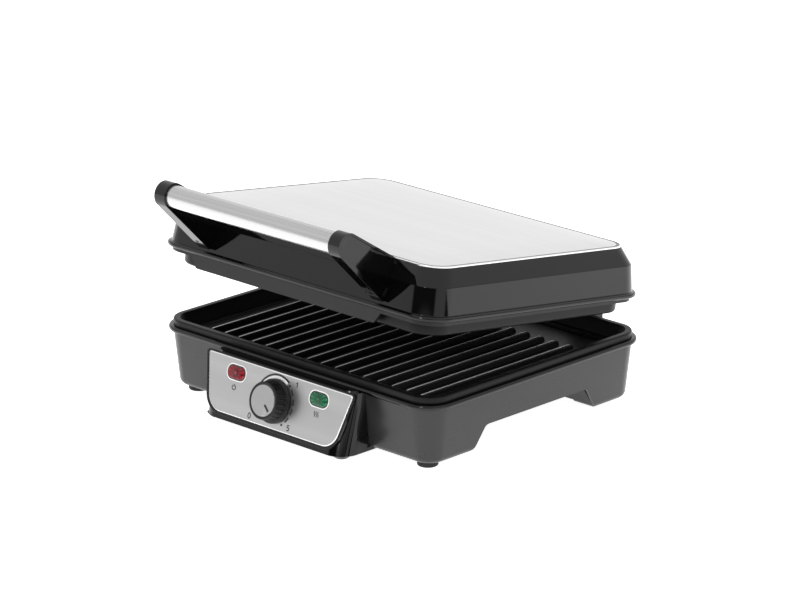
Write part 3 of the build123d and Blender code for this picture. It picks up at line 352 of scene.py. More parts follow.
lid_sheet = brushed("brushed_aluminium_lid_sheet", "e4e4e4", "dadada", 0.30, 0.40)
panel_sheet = brushed("brushed_steel_panel_sheet", "bcbcbc", "a6a6a6", 0.30, 0.42)
tube_steel = brushed("drawn_steel_tube", "f0f0f0", "787878", 0.2, 0.36, groove=1.6)
cap_metal = brushed("lacquered_aluminium_cap", "ababab", "9c9c9c", 0.34, 0.42, groove=0.2)
plain_steel = brushed(
    "zinc_plated_steel", "b4b3b0", "8f8e8b", 0.25, 0.4, stretch=(1, 1, 0.05), groove=0.8)
# The groove's darker grey is painted shade in the sheet's step.
groove_painted_shade = brushed("sheet_groove_painted_shade", "8c8c8c", "787878", 0.35, 0.45)
bright_sheet = brushed("aluminised_reflector_sheet", "cfcfd0", "bcbcbe", 0.15, 0.3)
heater_tube = brushed(
    "heat_tinted_sheath", "6d665f", "4c4640", 0.35, 0.5, stretch=(1, 1, 1), groove=3.0)
print("materials so far", len(bpy.data.materials))

# %% [markdown]
# Small materials: rubber that has been compression moulded, glazed ceramic for what must stand
# heat, printing ink on the panel, and the coloured clear polycarbonate of the two jewels.

# %% Rubber, ceramic, ink and clear jewels
rubber, tree, shader = finish("moulded_rubber", "141414", Roughness=0.7, IOR=1.52)
tree.links.new(band(tree, grain(tree, 1.0), 0.6, 0.85), shader.inputs["Roughness"])
relief(tree, shader, grain(tree, 0.6), 0.03)
ceramic, tree, shader = finish("glazed_steatite", "d8d2c4", Roughness=0.25, IOR=1.6)
tree.links.new(blend(tree, grain(tree, 4.0), "d2ccbd", "ddd8cb"), shader.inputs["Base Color"])
ink, tree, shader = finish("screen_printed_black_ink", "141414", Roughness=0.55, IOR=1.5)
tree.links.new(blend(tree, grain(tree, 0.5), "101010", "1c1c1c"), shader.inputs["Base Color"])
white_ink, tree, shader = finish("screen_printed_white_ink", "f2f2f2", Roughness=0.5, IOR=1.5)
tree.links.new(blend(tree, grain(tree, 0.5), "ececec", "f6f6f6"), shader.inputs["Base Color"])


JEWEL_X = 49.7
JEWEL_Y = 13.1
JEWEL_FACETS = 7.0


def jewel(name, bright, deep, side):
    """Clear coloured polycarbonate, facets fanned round a small button; colour paints their
    highlights.
    """
    made, tree, shader = finish(name, bright, Roughness=0.12, IOR=1.45)
    middle = PANEL @ Vector((side * JEWEL_X, JEWEL_Y, 0))
    place = add(tree, "ShaderNodeTexCoord").outputs["Object"]
    moved = add(tree, "ShaderNodeVectorMath", {0: place, 1: tuple(middle)}, operation="SUBTRACT")
    spot = add(tree, "ShaderNodeSeparateXYZ", {0: moved.outputs[0]}).outputs
    angle = calc(tree, "ARCTAN2", spot[2], spot[0])
    fan = calc(tree, "ABSOLUTE", calc(tree, "SINE", calc(tree, "MULTIPLY", angle, JEWEL_FACETS)))
    length = add(tree, "ShaderNodeVectorMath", {0: moved.outputs[0]}, operation="LENGTH")
    away = length.outputs["Value"]
    # Painted highlights: a bright ring round the button, and each facet lighter towards the rim.
    ring = calc(tree, "COMPARE", away, 1.6 * MM, 0.5 * MM)
    light = calc(tree, "MULTIPLY", fan, calc(tree, "DIVIDE", away, 11 * MM))
    painted_facet_light = calc(tree, "MINIMUM", calc(tree, "MULTIPLY_ADD", ring, 0.8, light), 1.0)
    tree.links.new(blend(tree, painted_facet_light, deep, bright), shader.inputs["Base Color"])
    relief(tree, shader, fan, 0.06)
    return made


red_jewel = jewel("clear_red_polycarbonate", "b00c1e", "30030a", -1)
green_jewel = jewel("clear_green_polycarbonate", "078450", "022a1b", 1)
# A near-white metal on the edges of the sheets paints their highlight.
edge_highlight_metal, tree, shader = finish("sheet_edge_painted_highlight", "f4f4f4", Metallic=1.0, Roughness=0.28)
tree.links.new(band(tree, grain(tree, 0.4), 0.22, 0.34), shader.inputs["Roughness"])
print("materials", len(bpy.data.materials))

# %% [markdown]
# Housings like these are drawn as a stack of rounded rectangles: each height has its inset from
# the bead and its own corner. A loft joins such loops with quads. Where two walls meet, the
# mould is never sharp, so the profile is rounded by a real radius before it is lofted, and
# that small radius is what catches the light along every edge of the photograph.

# %% Lofts of rounded rectangles
BEAD_WIDTH = 330.0
BEAD_DEPTH = 273.0
BEAD_CORNER = 26.0
BEAD_RADIUS = 2.3
SHELL = 2.5
CORNER_STEPS = 14


def rounded_points(width, depth, corner, steps=CORNER_STEPS):
    """Outline of a rounded rectangle, anticlockwise seen from above."""
    points = []
    for quarter in range(4):
        way_x = 1 if quarter in (0, 3) else -1
        way_y = 1 if quarter in (0, 1) else -1
        for step in range(steps + 1):
            angle = (quarter + step / steps) * pi / 2
            x = way_x * (width / 2 - corner) + corner * cos(angle)
            y = way_y * (depth / 2 - corner) + corner * sin(angle)
            points.append((x, y))
    return points


def round_profile(points, steps=5):
    """Rounds a profile of (inset, z, radius) points into (inset, z) pairs."""
    made = []
    for i, (x, y, radius) in enumerate(points):
        here = Vector((x, y))
        if radius == 0 or i in (0, len(points) - 1):
            made.append(here)
            continue
        before = (Vector(points[i - 1][:2]) - here).normalized()
        after = (Vector(points[i + 1][:2]) - here).normalized()
        half = before.angle(after) / 2
        cut = radius / tan(half)
        centre = here + (before + after).normalized() * (radius / sin(half))
        start, end = here + before * cut - centre, here + after * cut - centre
        turn = atan2(start.x * end.y - start.y * end.x, start.dot(end))
        for step in range(steps + 1):
            angle = turn * step / steps
            arm = Matrix.Rotation(angle, 2) @ start
            made.append(centre + arm)
    return made


def piece(name, mesh, material, body):
    """Makes an object of a finished mesh, gives it its material and lets it ride on a body."""
    made = bpy.data.objects.new(name, mesh)
    bpy.context.scene.collection.objects.link(made)
    if material:
        mesh.materials.clear()
        mesh.materials.append(material)
    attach(made, body)
    return made


def skin(name, loops, closed_loop=False):
    """Mesh of quads between loops of equal length, capped at both ends unless it closes."""
    work = bmesh.new()
    rings = [[work.verts.new(point) for point in loop] for loop in loops]
    pairs = list(zip(rings, rings[1:]))
    if closed_loop:
        pairs.append((rings[-1], rings[0]))
    for lower, upper in pairs:
        for i in range(len(lower)):
            j = (i + 1) % len(lower)
            work.faces.new((lower[i], lower[j], upper[j], upper[i]))
    if not closed_loop:
        work.faces.new(rings[0])
        work.faces.new(rings[-1])
    bmesh.ops.recalc_face_normals(work, faces=work.faces)
    made = bpy.data.meshes.new(name)
    work.to_mesh(made)
    work.free()
    return made


def shade(mesh, angle=32):
    """Smooth shading that keeps edges sharper than an angle."""
    mesh.shade_smooth()
    mesh.set_sharp_from_angle(angle=radians(angle))
    return mesh


def stack(name, frame_of, profile, corner_of, closed_loop=False):
    """Lofts a profile of (inset, z) round the bead's rectangle, in a plane of the object."""
    loops = []
    for inset, z in profile:
        outline = rounded_points(BEAD_WIDTH - 2 * inset, BEAD_DEPTH - 2 * inset, corner_of(inset))
        loops.append([frame_of @ Vector((x, y, z)) for x, y in outline])
    return skin(name, loops, closed_loop)


def settled(made):
    """Plain mesh of an object as its modifiers leave it."""
    bpy.context.view_layer.update()
    finished = made.evaluated_get(bpy.context.evaluated_depsgraph_get())
    return bpy.data.meshes.new_from_object(finished)


def carve(target, *cutters):
    """Cuts the cutters' meshes out of a mesh with exact booleans and removes them."""
    body = bpy.data.objects.new("carved", target)
    bpy.context.scene.collection.objects.link(body)
    tools = []
    for mesh in cutters:
        tool = bpy.data.objects.new("cutter", mesh)
        bpy.context.scene.collection.objects.link(tool)
        cut = body.modifiers.new("cut", "BOOLEAN")
        cut.operation = "DIFFERENCE"
        cut.solver = "EXACT"
        cut.object = tool
        tools.append(tool)
    made = settled(body)
    for old in [body, *tools]:
        bpy.data.objects.remove(old)
    made.name = target.name + "_carved"
    return made


def prism(name, frame_of, outline, low, high):
    """Straight prism: an outline in a plane of the object, between two heights."""
    loops = [[frame_of @ Vector((x, y, z)) for x, y in outline] for z in (low, high)]
    return skin(name, loops)


# %% [markdown]
# Ribs, ridges and screw recesses repeat. Each is drawn once in a geometry tree whose inputs
# carry the real sizes, then set out along a line or round a circle, realised, and kept as a
# plain mesh in the plane of its piece. The tools below make such a tree and run it.

# %% Tools for repeated forms


def growth(name, **inputs):
    """A geometry tree with named inputs; gives the tree and the sockets of its inputs."""
    tree = bpy.data.node_groups.new(name, "GeometryNodeTree")
    tree.interface.new_socket("Geometry", in_out="OUTPUT", socket_type="NodeSocketGeometry")
    for label, kind in inputs.items():
        tree.interface.new_socket(label, in_out="INPUT", socket_type="NodeSocket" + kind)
    return tree, add(tree, "NodeGroupInput").outputs


def repeat(tree, sockets, points, shape, **feeds):
    """Ends a tree: the shape on the points, realised, with its material."""
    smooth = add(tree, "GeometryNodeSetShadeSmooth", {"Geometry": shape}).outputs[0]
    spots = {"Points": points, "Instance": smooth, **feeds}
    spread = add(tree, "GeometryNodeInstanceOnPoints", spots)
    real = add(tree, "GeometryNodeRealizeInstances", {"Geometry": spread.outputs[0]})
    coat = {"Geometry": real.outputs[0], "Material": sockets["Material"]}
    add(tree, "NodeGroupOutput", {0: add(tree, "GeometryNodeSetMaterial", coat).outputs[0]})


def grow(name, tree, frame_of, body, slot, **values):
    """Runs a tree with its inputs set and keeps the result as a plain piece in a plane."""
    made = bpy.data.objects.new(name, bpy.data.meshes.new(name + "_seed"))
    bpy.context.scene.collection.objects.link(made)
    run = made.modifiers.new("grow", "NODES")
    run.node_group = tree
    for item in tree.interface.items_tree:
        if item.in_out == "INPUT":
            run[item.identifier] = values[item.name]
    plain = settled(made)
    made.modifiers.clear()
    made.data = plain
    plain.name = name
    plain.transform(frame_of)
    plain.set_sharp_from_angle(angle=radians(50))
    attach(made, body)
    print(name, len(plain.polygons), "faces")
    return made


# %% [markdown]
# The solids arrive as loose triangles with sharp edges. Most small pieces only need their
# edges eased: a copy is merged, its flat faces joined again, and a narrow bevel with smooth
# shading gives the mould's radius. The copy replaces the solid in the picture, and the solid
# stays behind for the motion.

# %% Ease the edges of the plain solids


def eased(node, material, width=0.35, angle=35, segments=2):
    """Bevelled, smooth copy of a solid node that stands in its place."""
    mesh = NODES[node].data.copy()
    mesh.name = node + "_eased"
    work = bmesh.new()
    work.from_mesh(mesh)
    bmesh.ops.remove_doubles(work, verts=work.verts, dist=0.002 * MM)
    bmesh.ops.dissolve_limit(work, angle_limit=radians(0.4), verts=work.verts, edges=work.edges)
    work.to_mesh(mesh)
    work.free()
    shade(mesh, angle)
    made = bpy.data.objects.new(node + "_eased", mesh)
    bpy.context.scene.collection.objects.link(made)
    if width:
        bevel = made.modifiers.new("eased", "BEVEL")
        bevel.width = width * MM
        bevel.segments = segments
        bevel.limit_method = "ANGLE"
        bevel.angle_limit = radians(angle)
        bevel.harden_normals = True
        bevel.use_clamp_overlap = True
    plain = settled(made)
    made.modifiers.clear()
    made.data = plain
    plain.name = node + "_eased"
    plain.materials.clear()
    plain.materials.append(material)
    body = NODES[node]["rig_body"]
    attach(made, body)
    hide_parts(node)
    return made


EASED = {
    "control_box": (gloss_abs, "black_gloss_plastic", 0.5),
    "panel_frame": (gloss_abs, "black_plastic", 0.3),
    "power_lens": (red_jewel, "clear_lens", 0.3),
    "ready_lens": (green_jewel, "clear_lens", 0.3),
    "rubber_feet": (rubber, "rubber", 0.4),
    "handle_bracket_left": (gloss_abs, "black_gloss_plastic", 0.8),
    "handle_bracket_right": (gloss_abs, "black_gloss_plastic", 0.8),
    "lid_frame": (black_nylon, "black_plastic", 0.4),
    "lid_arm_left": (black_nylon, "black_plastic", 0.5),
    "lid_arm_right": (black_nylon, "black_plastic", 0.5),
    "hinge_guide_left": (black_nylon, "black_plastic", 0.6),
    "hinge_guide_right": (black_nylon, "black_plastic", 0.6),
    "hinge_post_left": (plain_steel, "steel", 0.3),
    "hinge_post_right": (plain_steel, "steel", 0.3),
    "hinge_pins": (plain_steel, "screw_steel", 0.2),
    "bottom_cover": (black_nylon, "black_plastic", 0.4),
    "cord_gland": (rubber, "rubber", 0.4),
    "knob_cap": (cap_metal, "silver_cap", 0.1),
}
for node_name, (material, slot_name, width) in EASED.items():
    made = eased(node_name, material, width)
    print(made.name, len(made.data.polygons), "faces")

# %% [markdown]
# Pan screws are cold headed and punched with a cross. Two thin dark bars across each head, a
# hair proud of it, paint the shade in that cross where a tool would enter.

# %% Painted shade in the screws' cross recesses
crosses, given = growth(
    "cross_recess_painted_shade", Columns="Int", Rows="Int", Width="Float", Depth="Float", Span="Float",
    Slot="Float", Proud="Float", Material="Material")
bars = []
for first, second in (("Span", "Slot"), ("Slot", "Span")):
    sides = {0: given[first], 1: given[second], 2: given["Proud"]}
    size = add(crosses, "ShaderNodeCombineXYZ", sides)
    bars.append(add(crosses, "GeometryNodeMeshCube", {"Size": size.outputs[0]}).outputs[0])
cross = add(crosses, "GeometryNodeMeshBoolean", operation="UNION")
for bar in bars:
    crosses.links.new(bar, cross.inputs["Mesh 2"])
grid = add(crosses, "GeometryNodeMeshGrid", {
    "Size X": given["Width"], "Size Y": given["Depth"], "Vertices X": given["Columns"],
    "Vertices Y": given["Rows"]})
repeat(crosses, given, grid.outputs[0], cross.outputs[0])
SCREW_HEAD = 6.0
heads = [vert.co for vert in NODES["cover_screws"].data.vertices]
head_low = min(point.z for point in heads)
heads = [point for point in heads if point.z < head_low + MM]
left, right = min(point.x for point in heads), max(point.x for point in heads)
front, back = min(point.y for point in heads), max(point.y for point in heads)
under = Matrix.Translation((0, (back + front) / 2, head_low)) @ Matrix.Scale(MM, 4)
# Dark nylon bars on each head paint the shade of its cross recess.
grow("cover_screw_cross_shade", crosses, under, "base", "screw_steel", Columns=2, Rows=2,
     Width=(right - left) / MM - SCREW_HEAD, Depth=(back - front) / MM - SCREW_HEAD,
     Span=3.4, Slot=0.8, Proud=0.1, Material=black_nylon)

# %% [markdown]
# What stays as the solid made it still needs its finish. The material goes into the slots of
# the solid's own object.

# %% Finishes of the untouched solids
PLAIN = {
    "cover_screws": plain_steel, "guide_bolts": plain_steel, "lid_screws": plain_steel,
    "arm_screws": plain_steel, "upper_plate_screws": plain_steel, "handle_screws": plain_steel,
    "indicator_lamps": ceramic,
    "thermostat": plain_steel, "thermostat_shaft": plain_steel,
    "lower_heating_element": heater_tube, "upper_heating_element": heater_tube,
    "lower_reflector": bright_sheet, "upper_reflector": bright_sheet,
    "thermal_fuse": ceramic, "terminal_block": ceramic, "handle_tube": tube_steel,
}
for node_name, material in PLAIN.items():
    mesh = NODES[node_name].data
    mesh.materials.clear()
    mesh.materials.append(material)
print(len(PLAIN), "solids finished as they are")

# %% [markdown]
# The base housing: a drafted graphite wall rolled in at the foot and bridged at both sides. Its
# profile runs once round the wall's thickness, so the loft closes on itself. A black half-round
# bead is clipped on its top, and the dark joint under it is what parts the two in the picture.
# The window in the front wall is hidden behind the control box.

# %% Base housing
BEAD_Z = 58.0
FOOT_Z = 5.5
WALL_TOP = 55.65
WALL_INSET = 4.0
FLANGE_INSET = 34.0
LEAST_CORNER = 6.0
DRAFT = tan(radians(6.0))
foot_inset = WALL_INSET + (BEAD_Z - FOOT_Z) * DRAFT
neck_inset = WALL_INSET + (BEAD_Z - WALL_TOP) * DRAFT
base_profile = round_profile([
    (FLANGE_INSET, FOOT_Z + 1, 0), (FLANGE_INSET, FOOT_Z, 0.4), (foot_inset, FOOT_Z, 6.0),
    (neck_inset, WALL_TOP, 0.6), (neck_inset + SHELL, WALL_TOP, 0.3),
    (foot_inset + SHELL, FOOT_Z + SHELL, 1.0), (FLANGE_INSET, FOOT_Z + SHELL, 0.3),
    (FLANGE_INSET, FOOT_Z + 1.6, 0)])


def base_corner(inset):
    """Corner radius of the base at an inset from the bead."""
    return max(BEAD_CORNER - inset, LEAST_CORNER)


housing = stack("base_wall", BASE, base_profile, base_corner, closed_loop=True)
ARCH_FOOT = 5.45
ARCH_TOP = 27.2
arch_path = round_profile([
    (-90, -6, 0), (-90, ARCH_FOOT, 0), (-75, ARCH_FOOT, 5.0), (-61, ARCH_TOP, 6.0),
    (65, ARCH_TOP, 6.0), (79, ARCH_FOOT, 5.0), (94, ARCH_FOOT, 0), (94, -6, 0)], steps=8)
side_frame = BASE @ Matrix(((0, 0, 1, 0), (1, 0, 0, 0), (0, 1, 0, 0), (0, 0, 0, 1)))
arch = prism("arch", side_frame, [(p.x, p.y) for p in arch_path], -200, 200)
WINDOW_HALF = 69
WINDOW_FOOT, WINDOW_TOP = 20, 49
window_side = [(-150, WINDOW_FOOT), (-128, WINDOW_FOOT), (-128, WINDOW_TOP), (-150, WINDOW_TOP)]
window = prism("window", side_frame, window_side, -WINDOW_HALF, WINDOW_HALF)
housing = shade(carve(housing, arch, window), 28)
made = piece("base_wall", housing, graphite_abs, "base")
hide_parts("base_housing")
BEAD_ROUND = BEAD_RADIUS * 0.9
LEDGE_INSET = 8.5
bead_foot, bead_top = BEAD_Z - BEAD_RADIUS, BEAD_Z + BEAD_RADIUS
trim_profile = round_profile([
    (WALL_INSET, bead_foot, 0), (0, bead_foot, BEAD_ROUND), (0, bead_top, BEAD_ROUND),
    (LEDGE_INSET, bead_top, 0.4), (LEDGE_INSET, bead_foot, 0.2), (5.0, bead_foot, 0)])
trim = shade(stack("base_bead", BASE, trim_profile, base_corner, closed_loop=True), 28)
made = piece("base_bead", trim, gloss_abs, "base")
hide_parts("base_trim")
print("base wall", len(housing.polygons), "and bead", len(trim.polygons), "faces")

# %% [markdown]
# The lid cover: bead, lower band, knee, upper band and a flat deck, all glossy. The knee has
# a radius of a millimetre or so and flashes where it turns the corner. Two windows behind let
# the hinge arms out.

# %% Lid cover
KNEE_Z = 25.5
DECK_Z = 40.2
KNEE_INSET = 5.6
DECK_INSET = 13.4
LID_MIDDLE = 60.0
lid_profile = round_profile([
    (LID_MIDDLE, DECK_Z, 0), (DECK_INSET, DECK_Z, 1.0), (KNEE_INSET, KNEE_Z, 1.6),
    (3.24, BEAD_RADIUS, 0.5), (0, BEAD_RADIUS, BEAD_ROUND), (0, -BEAD_RADIUS, BEAD_ROUND),
    (5.5, -BEAD_RADIUS, 0.2), (KNEE_INSET, BEAD_RADIUS, 0.5),
    (KNEE_INSET + SHELL, KNEE_Z - 1, 0.8), (DECK_INSET + SHELL, DECK_Z - SHELL, 0.8),
    (LID_MIDDLE, DECK_Z - SHELL, 0)])
LID_CORNERS = [
    (0, BEAD_CORNER), (3, 23.5), (KNEE_INSET, 22.5), (DECK_INSET, 21.5), (16, 19.0),
    (LID_MIDDLE, 12.0)]


def lid_corner(inset):
    """Corner radius of the lid at an inset from the bead."""
    for (x0, r0), (x1, r1) in zip(LID_CORNERS, LID_CORNERS[1:]):
        if inset <= x1:
            return r0 + (r1 - r0) * max(0.0, inset - x0) / (x1 - x0)
    return LID_CORNERS[-1][1]


cover = stack("lid_shell", LID, lid_profile, lid_corner)
ARM_X = 80
ARM_HALF = 10.8
ARM_FOOT, ARM_TOP = 7.4, 26.6
back_frame = LID @ Matrix(((1, 0, 0, 0), (0, 0, 1, 0), (0, 1, 0, 0), (0, 0, 0, 1)))
windows = []
for x in (-ARM_X, ARM_X):
    left, right = x - ARM_HALF, x + ARM_HALF
    opening = [(left, ARM_FOOT), (right, ARM_FOOT), (right, ARM_TOP), (left, ARM_TOP)]
    windows.append(prism("arm_window", back_frame, opening, 120, 140))
cover = shade(carve(cover, *windows), 28)
made = piece("lid_shell", cover, gloss_abs, "lid")
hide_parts("lid_cover")
print("lid shell", len(cover.polygons), "faces")

# %% [markdown]
# The top sheet is pressed: a flat field, a shallow step just inside its edge and a rolled rim.
# A darker grey in the step is painted shade and a near-white metal on the rim is a painted
# highlight, so they show as a grey line and a bright line round the white field.

# %% Lid top sheet
SHEET_TOP = 41.4
SHEET_FOOT = 40.22
GROOVE_FLOOR = 40.95
RIM_INSET = 13.45
GROOVE_OUTER, GROOVE_INNER = 15.0, 17.2
top_profile = round_profile([
    (LID_MIDDLE, SHEET_TOP, 0), (17.4, SHEET_TOP, 0.4), (16.9, GROOVE_FLOOR, 0.2),
    (15.3, GROOVE_FLOOR, 0.2), (14.8, SHEET_TOP, 0.2), (RIM_INSET, SHEET_TOP, 0.6),
    (RIM_INSET, SHEET_FOOT, 0.1), (LID_MIDDLE, SHEET_FOOT, 0)], steps=3)
sheet_mesh = stack("lid_top_sheet", LID, top_profile, lid_corner)
for material in (lid_sheet, groove_painted_shade, edge_highlight_metal):
    sheet_mesh.materials.append(material)
around = 4 * (CORNER_STEPS + 1)
# Faces in the step take the painted shade; the rim outside it takes the painted highlight.
for i, (inner, outer) in enumerate(zip(top_profile, top_profile[1:])):
    middle = (inner + outer) / 2
    in_groove = GROOVE_OUTER < middle.x < GROOVE_INNER
    kind = 1 if in_groove else 2 if middle.x < GROOVE_OUTER else 0
    for face in sheet_mesh.polygons[i * around:(i + 1) * around]:
        face.material_index = kind
made = piece("lid_top_sheet", shade(sheet_mesh, 50), None, "lid")
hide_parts("lid_top_plate")
print("top sheet", len(sheet_mesh.polygons), "faces")

# %% [markdown]
# The lower plate is cast as a dish: a lip that covers the bead's ledge, a steep wall and a flat
# floor that ends in a shallow gutter behind. Die-cast aluminium has no sharp corner anywhere,
# so each turn of its profile has a radius. The ribs follow in the next step.

# %% Lower plate
LEDGE_Z = 60.3
RIM_Z = 66.2
FLOOR_Z = 52.0
CASTING = 4
DISH_INSET = 9.0
LIP_INSET = 4.2
MOUTH_INSET = 10.2
PLATE_MIDDLE = 70.0
floor_inset = MOUTH_INSET + (RIM_Z - FLOOR_Z) * tan(radians(18.0))
dish_profile = round_profile([
    (PLATE_MIDDLE, FLOOR_Z - CASTING, 0), (DISH_INSET, FLOOR_Z - CASTING, 2.5),
    (DISH_INSET, LEDGE_Z, 0.3), (LIP_INSET, LEDGE_Z, 0.4), (LIP_INSET, RIM_Z, 1.5),
    (MOUTH_INSET, RIM_Z, 1.5), (floor_inset, FLOOR_Z, 3.5), (PLATE_MIDDLE, FLOOR_Z, 0)], steps=6)
dish = stack("lower_plate_dish", BASE, dish_profile, base_corner)
GUTTER_Y = 100.6
GUTTER_LENGTH, GUTTER_WIDTH, GUTTER_CORNER = 277.0, 29.5, 6.0
gutter = rounded_points(GUTTER_LENGTH, GUTTER_WIDTH, GUTTER_CORNER, 6)
trough = [(x, y + GUTTER_Y) for x, y in gutter]
dish = shade(carve(dish, prism("gutter", BASE, trough, FLOOR_Z - 1, FLOOR_Z + 1)), 40)
made = piece("lower_plate_dish", dish, non_stick, "base")
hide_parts("lower_grill_plate")
print("lower dish", len(dish.polygons), "faces")

# %% [markdown]
# The upper plate is a plain tray that hangs inside the lid's frame, with the same radii.

# %% Upper plate
FRAME_FOOT = -6.0
SOLE_Z = -16.8
TRAY_INSET = 12.0
TRAY_NECK = 14.5
TRAY_CORNER = 36.0
tray_rim = FRAME_FOOT - 0.3
tray_profile = round_profile([
    (PLATE_MIDDLE, SOLE_Z + CASTING, 0), (TRAY_NECK, SOLE_Z + CASTING, 0.5),
    (TRAY_NECK, tray_rim, 0.4), (TRAY_INSET, tray_rim, 0.6), (TRAY_INSET, SOLE_Z, 2.8),
    (PLATE_MIDDLE, SOLE_Z, 0)], steps=6)


def tray_corner(inset):
    """Corner radius of the tray, which is rounder than the bead."""
    return max(TRAY_CORNER - inset, LEAST_CORNER)


tray = shade(stack("upper_plate_tray", LID, tray_profile, tray_corner), 40)
made = piece("upper_plate_tray", tray, non_stick, "lid")
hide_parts("upper_grill_plate")
print("upper tray", len(tray.polygons), "faces")

# %% [markdown]
# Ribs print the dark stripes on the food. Each has a narrow rounded crest, drafted sides and
# ends that run down like the bow of a boat. One rib is a block of quads whose upper face is
# pulled to that shape, with its rows crowded at the ends where it curves, and a line of points
# sets out sixteen of them across each plate. A second, thinner row stands a hair proud of the
# crests in a pale colour. It is a painted highlight, the light line along each rib, and no
# piece or wear of the real plate.

# %% Ribs of both plates
ribs, given = growth(
    "rib_row", Count="Int", Pitch="Float", Length="Float", Height="Float", Root="Float",
    Foot="Float", Crest="Float", Run="Float", Material="Material")
block = add(ribs, "GeometryNodeMeshCube", {"Vertices X": 11, "Vertices Y": 21, "Vertices Z": 2})
spot = add(ribs, "ShaderNodeSeparateXYZ", {0: add(ribs, "GeometryNodeInputPosition").outputs[0]})
along = calc(ribs, "MULTIPLY", calc(ribs, "ABSOLUTE", spot.outputs[1]), 2.0)
STRAIGHT_ROWS = 0.2
END_WIDTH = 0.35
past = calc(ribs, "SUBTRACT", along, STRAIGHT_ROWS)
near_end = calc(ribs, "MAXIMUM", calc(ribs, "DIVIDE", past, 1 - STRAIGHT_ROWS), 0.0)
middle = calc(ribs, "MINIMUM", calc(ribs, "DIVIDE", along, STRAIGHT_ROWS), 1.0)
straight = calc(ribs, "SUBTRACT", calc(ribs, "DIVIDE", given["Length"], 2.0), given["Run"])
curved = calc(ribs, "MULTIPLY", near_end, given["Run"])
reach = calc(ribs, "ADD", calc(ribs, "MULTIPLY", middle, straight), curved)
rib_y = calc(ribs, "MULTIPLY", reach, calc(ribs, "SIGN", spot.outputs[1]))
fall = calc(ribs, "MULTIPLY", near_end, near_end)
rise = calc(ribs, "SQRT", calc(ribs, "SUBTRACT", 1.0001, fall))
narrow = calc(ribs, "MULTIPLY_ADD", rise, 1 - END_WIDTH, END_WIDTH)
rib_x = calc(ribs, "MULTIPLY", calc(ribs, "MULTIPLY", spot.outputs[0], given["Foot"]), narrow)
crest = add(ribs, "ShaderNodeMapRange", {
    "Value": calc(ribs, "ABSOLUTE", spot.outputs[0]), "From Min": 0.5,
    "From Max": calc(ribs, "MULTIPLY", calc(ribs, "DIVIDE", given["Crest"], given["Foot"]), 0.5)},
    interpolation_type="SMOOTHSTEP").outputs[0]
upper = calc(ribs, "GREATER_THAN", spot.outputs[2], 0.0)
top_z = calc(ribs, "MULTIPLY", calc(ribs, "MULTIPLY", given["Height"], rise), crest)
sunk = calc(ribs, "MULTIPLY", calc(ribs, "SUBTRACT", upper, 1.0), given["Root"])
rib_z = calc(ribs, "MULTIPLY_ADD", upper, top_z, sunk)
shape = add(ribs, "ShaderNodeCombineXYZ", {0: rib_x, 1: rib_y, 2: rib_z}).outputs[0]
moved = {"Geometry": block.outputs[0], "Position": shape}
rib = add(ribs, "GeometryNodeSetPosition", moved).outputs[0]
gaps = calc(ribs, "SUBTRACT", given["Count"], 1.0)
start_x = calc(ribs, "MULTIPLY", calc(ribs, "MULTIPLY", gaps, given["Pitch"]), -0.5)
first_rib = add(ribs, "ShaderNodeCombineXYZ", {0: start_x}).outputs[0]
next_rib = add(ribs, "ShaderNodeCombineXYZ", {0: given["Pitch"]}).outputs[0]
row = add(ribs, "GeometryNodeMeshLine", {
    "Count": given["Count"], "Start Location": first_rib, "Offset": next_rib})
repeat(ribs, given, row.outputs[0], rib)

LOWER_RIB_Y = -15.0
LOWER_RIB_LENGTH = 194.0
UPPER_RIB_Y = -9.0
UPPER_RIB_LENGTH = 182.0
RIB = dict(Count=16, Pitch=16.8, Root=0.6, Foot=4.4, Crest=1.2, Run=7.0, Height=5.2,
           Material=non_stick)
# The thinner crest row is a painted highlight in a pale colour along each rib.
CREST_HIGHLIGHT = dict(RIB, Root=0.0, Foot=2.0, Crest=1.3, Height=5.28, Material=crest_painted_highlight)
floor_frame = BASE @ Matrix.Translation((0, LOWER_RIB_Y, FLOOR_Z))
sole_frame = LID @ Matrix.Translation((0, UPPER_RIB_Y, SOLE_Z)) @ Matrix.Rotation(pi, 4, "X")
grow("lower_ribs", ribs, floor_frame, "base", "non_stick", Length=LOWER_RIB_LENGTH, **RIB)
grow("upper_ribs", ribs, sole_frame, "lid", "non_stick", Length=UPPER_RIB_LENGTH, **RIB)
# These pale crest rows paint the highlight along the ribs.
grow("lower_rib_crest_highlights", ribs, floor_frame, "base", "non_stick",
     Length=LOWER_RIB_LENGTH - 1, **CREST_HIGHLIGHT)
grow("upper_rib_crest_highlights", ribs, sole_frame, "lid", "non_stick",
     Length=UPPER_RIB_LENGTH - 1, **CREST_HIGHLIGHT)

# %% [markdown]
# The panel is a stamped sheet whose rim is cut to a chamfer after brushing, and a near-white
# metal on that chamfer paints the white highlight line that runs round it. Its outline is a wide
# trapezium with generous lower corners.

# %% Panel sheet
PANEL_TOP = 24.8
PANEL_FOOT = -23.7
TOP_HALF = 87
FOOT_HALF = 75


def panel_loop(shrink, z):
    """Rounded outline of the panel, drawn in by an offset, at a height above its face."""
    corners = [(-TOP_HALF, PANEL_TOP, 2.0), (TOP_HALF, PANEL_TOP, 2.0),
               (FOOT_HALF, PANEL_FOOT, 17.0), (-FOOT_HALF, PANEL_FOOT, 17.0)]
    lean = (TOP_HALF - FOOT_HALF) / (PANEL_TOP - PANEL_FOOT)
    slope = shrink * (1 + lean * lean) ** 0.5
    moved = []
    for x, y, radius in corners:
        way = 1 if x > 0 else -1
        new_y = y - shrink if y > 0 else y + shrink
        moved.append((x - way * (slope + (y - new_y) * lean), new_y, max(radius - shrink, 0.3)))
    start = (0, PANEL_TOP - shrink, 0)
    path = round_profile([start, *moved[1:], moved[0], start], steps=9)[:-1]
    return [PANEL @ Vector((p.x, p.y, z)) for p in path]


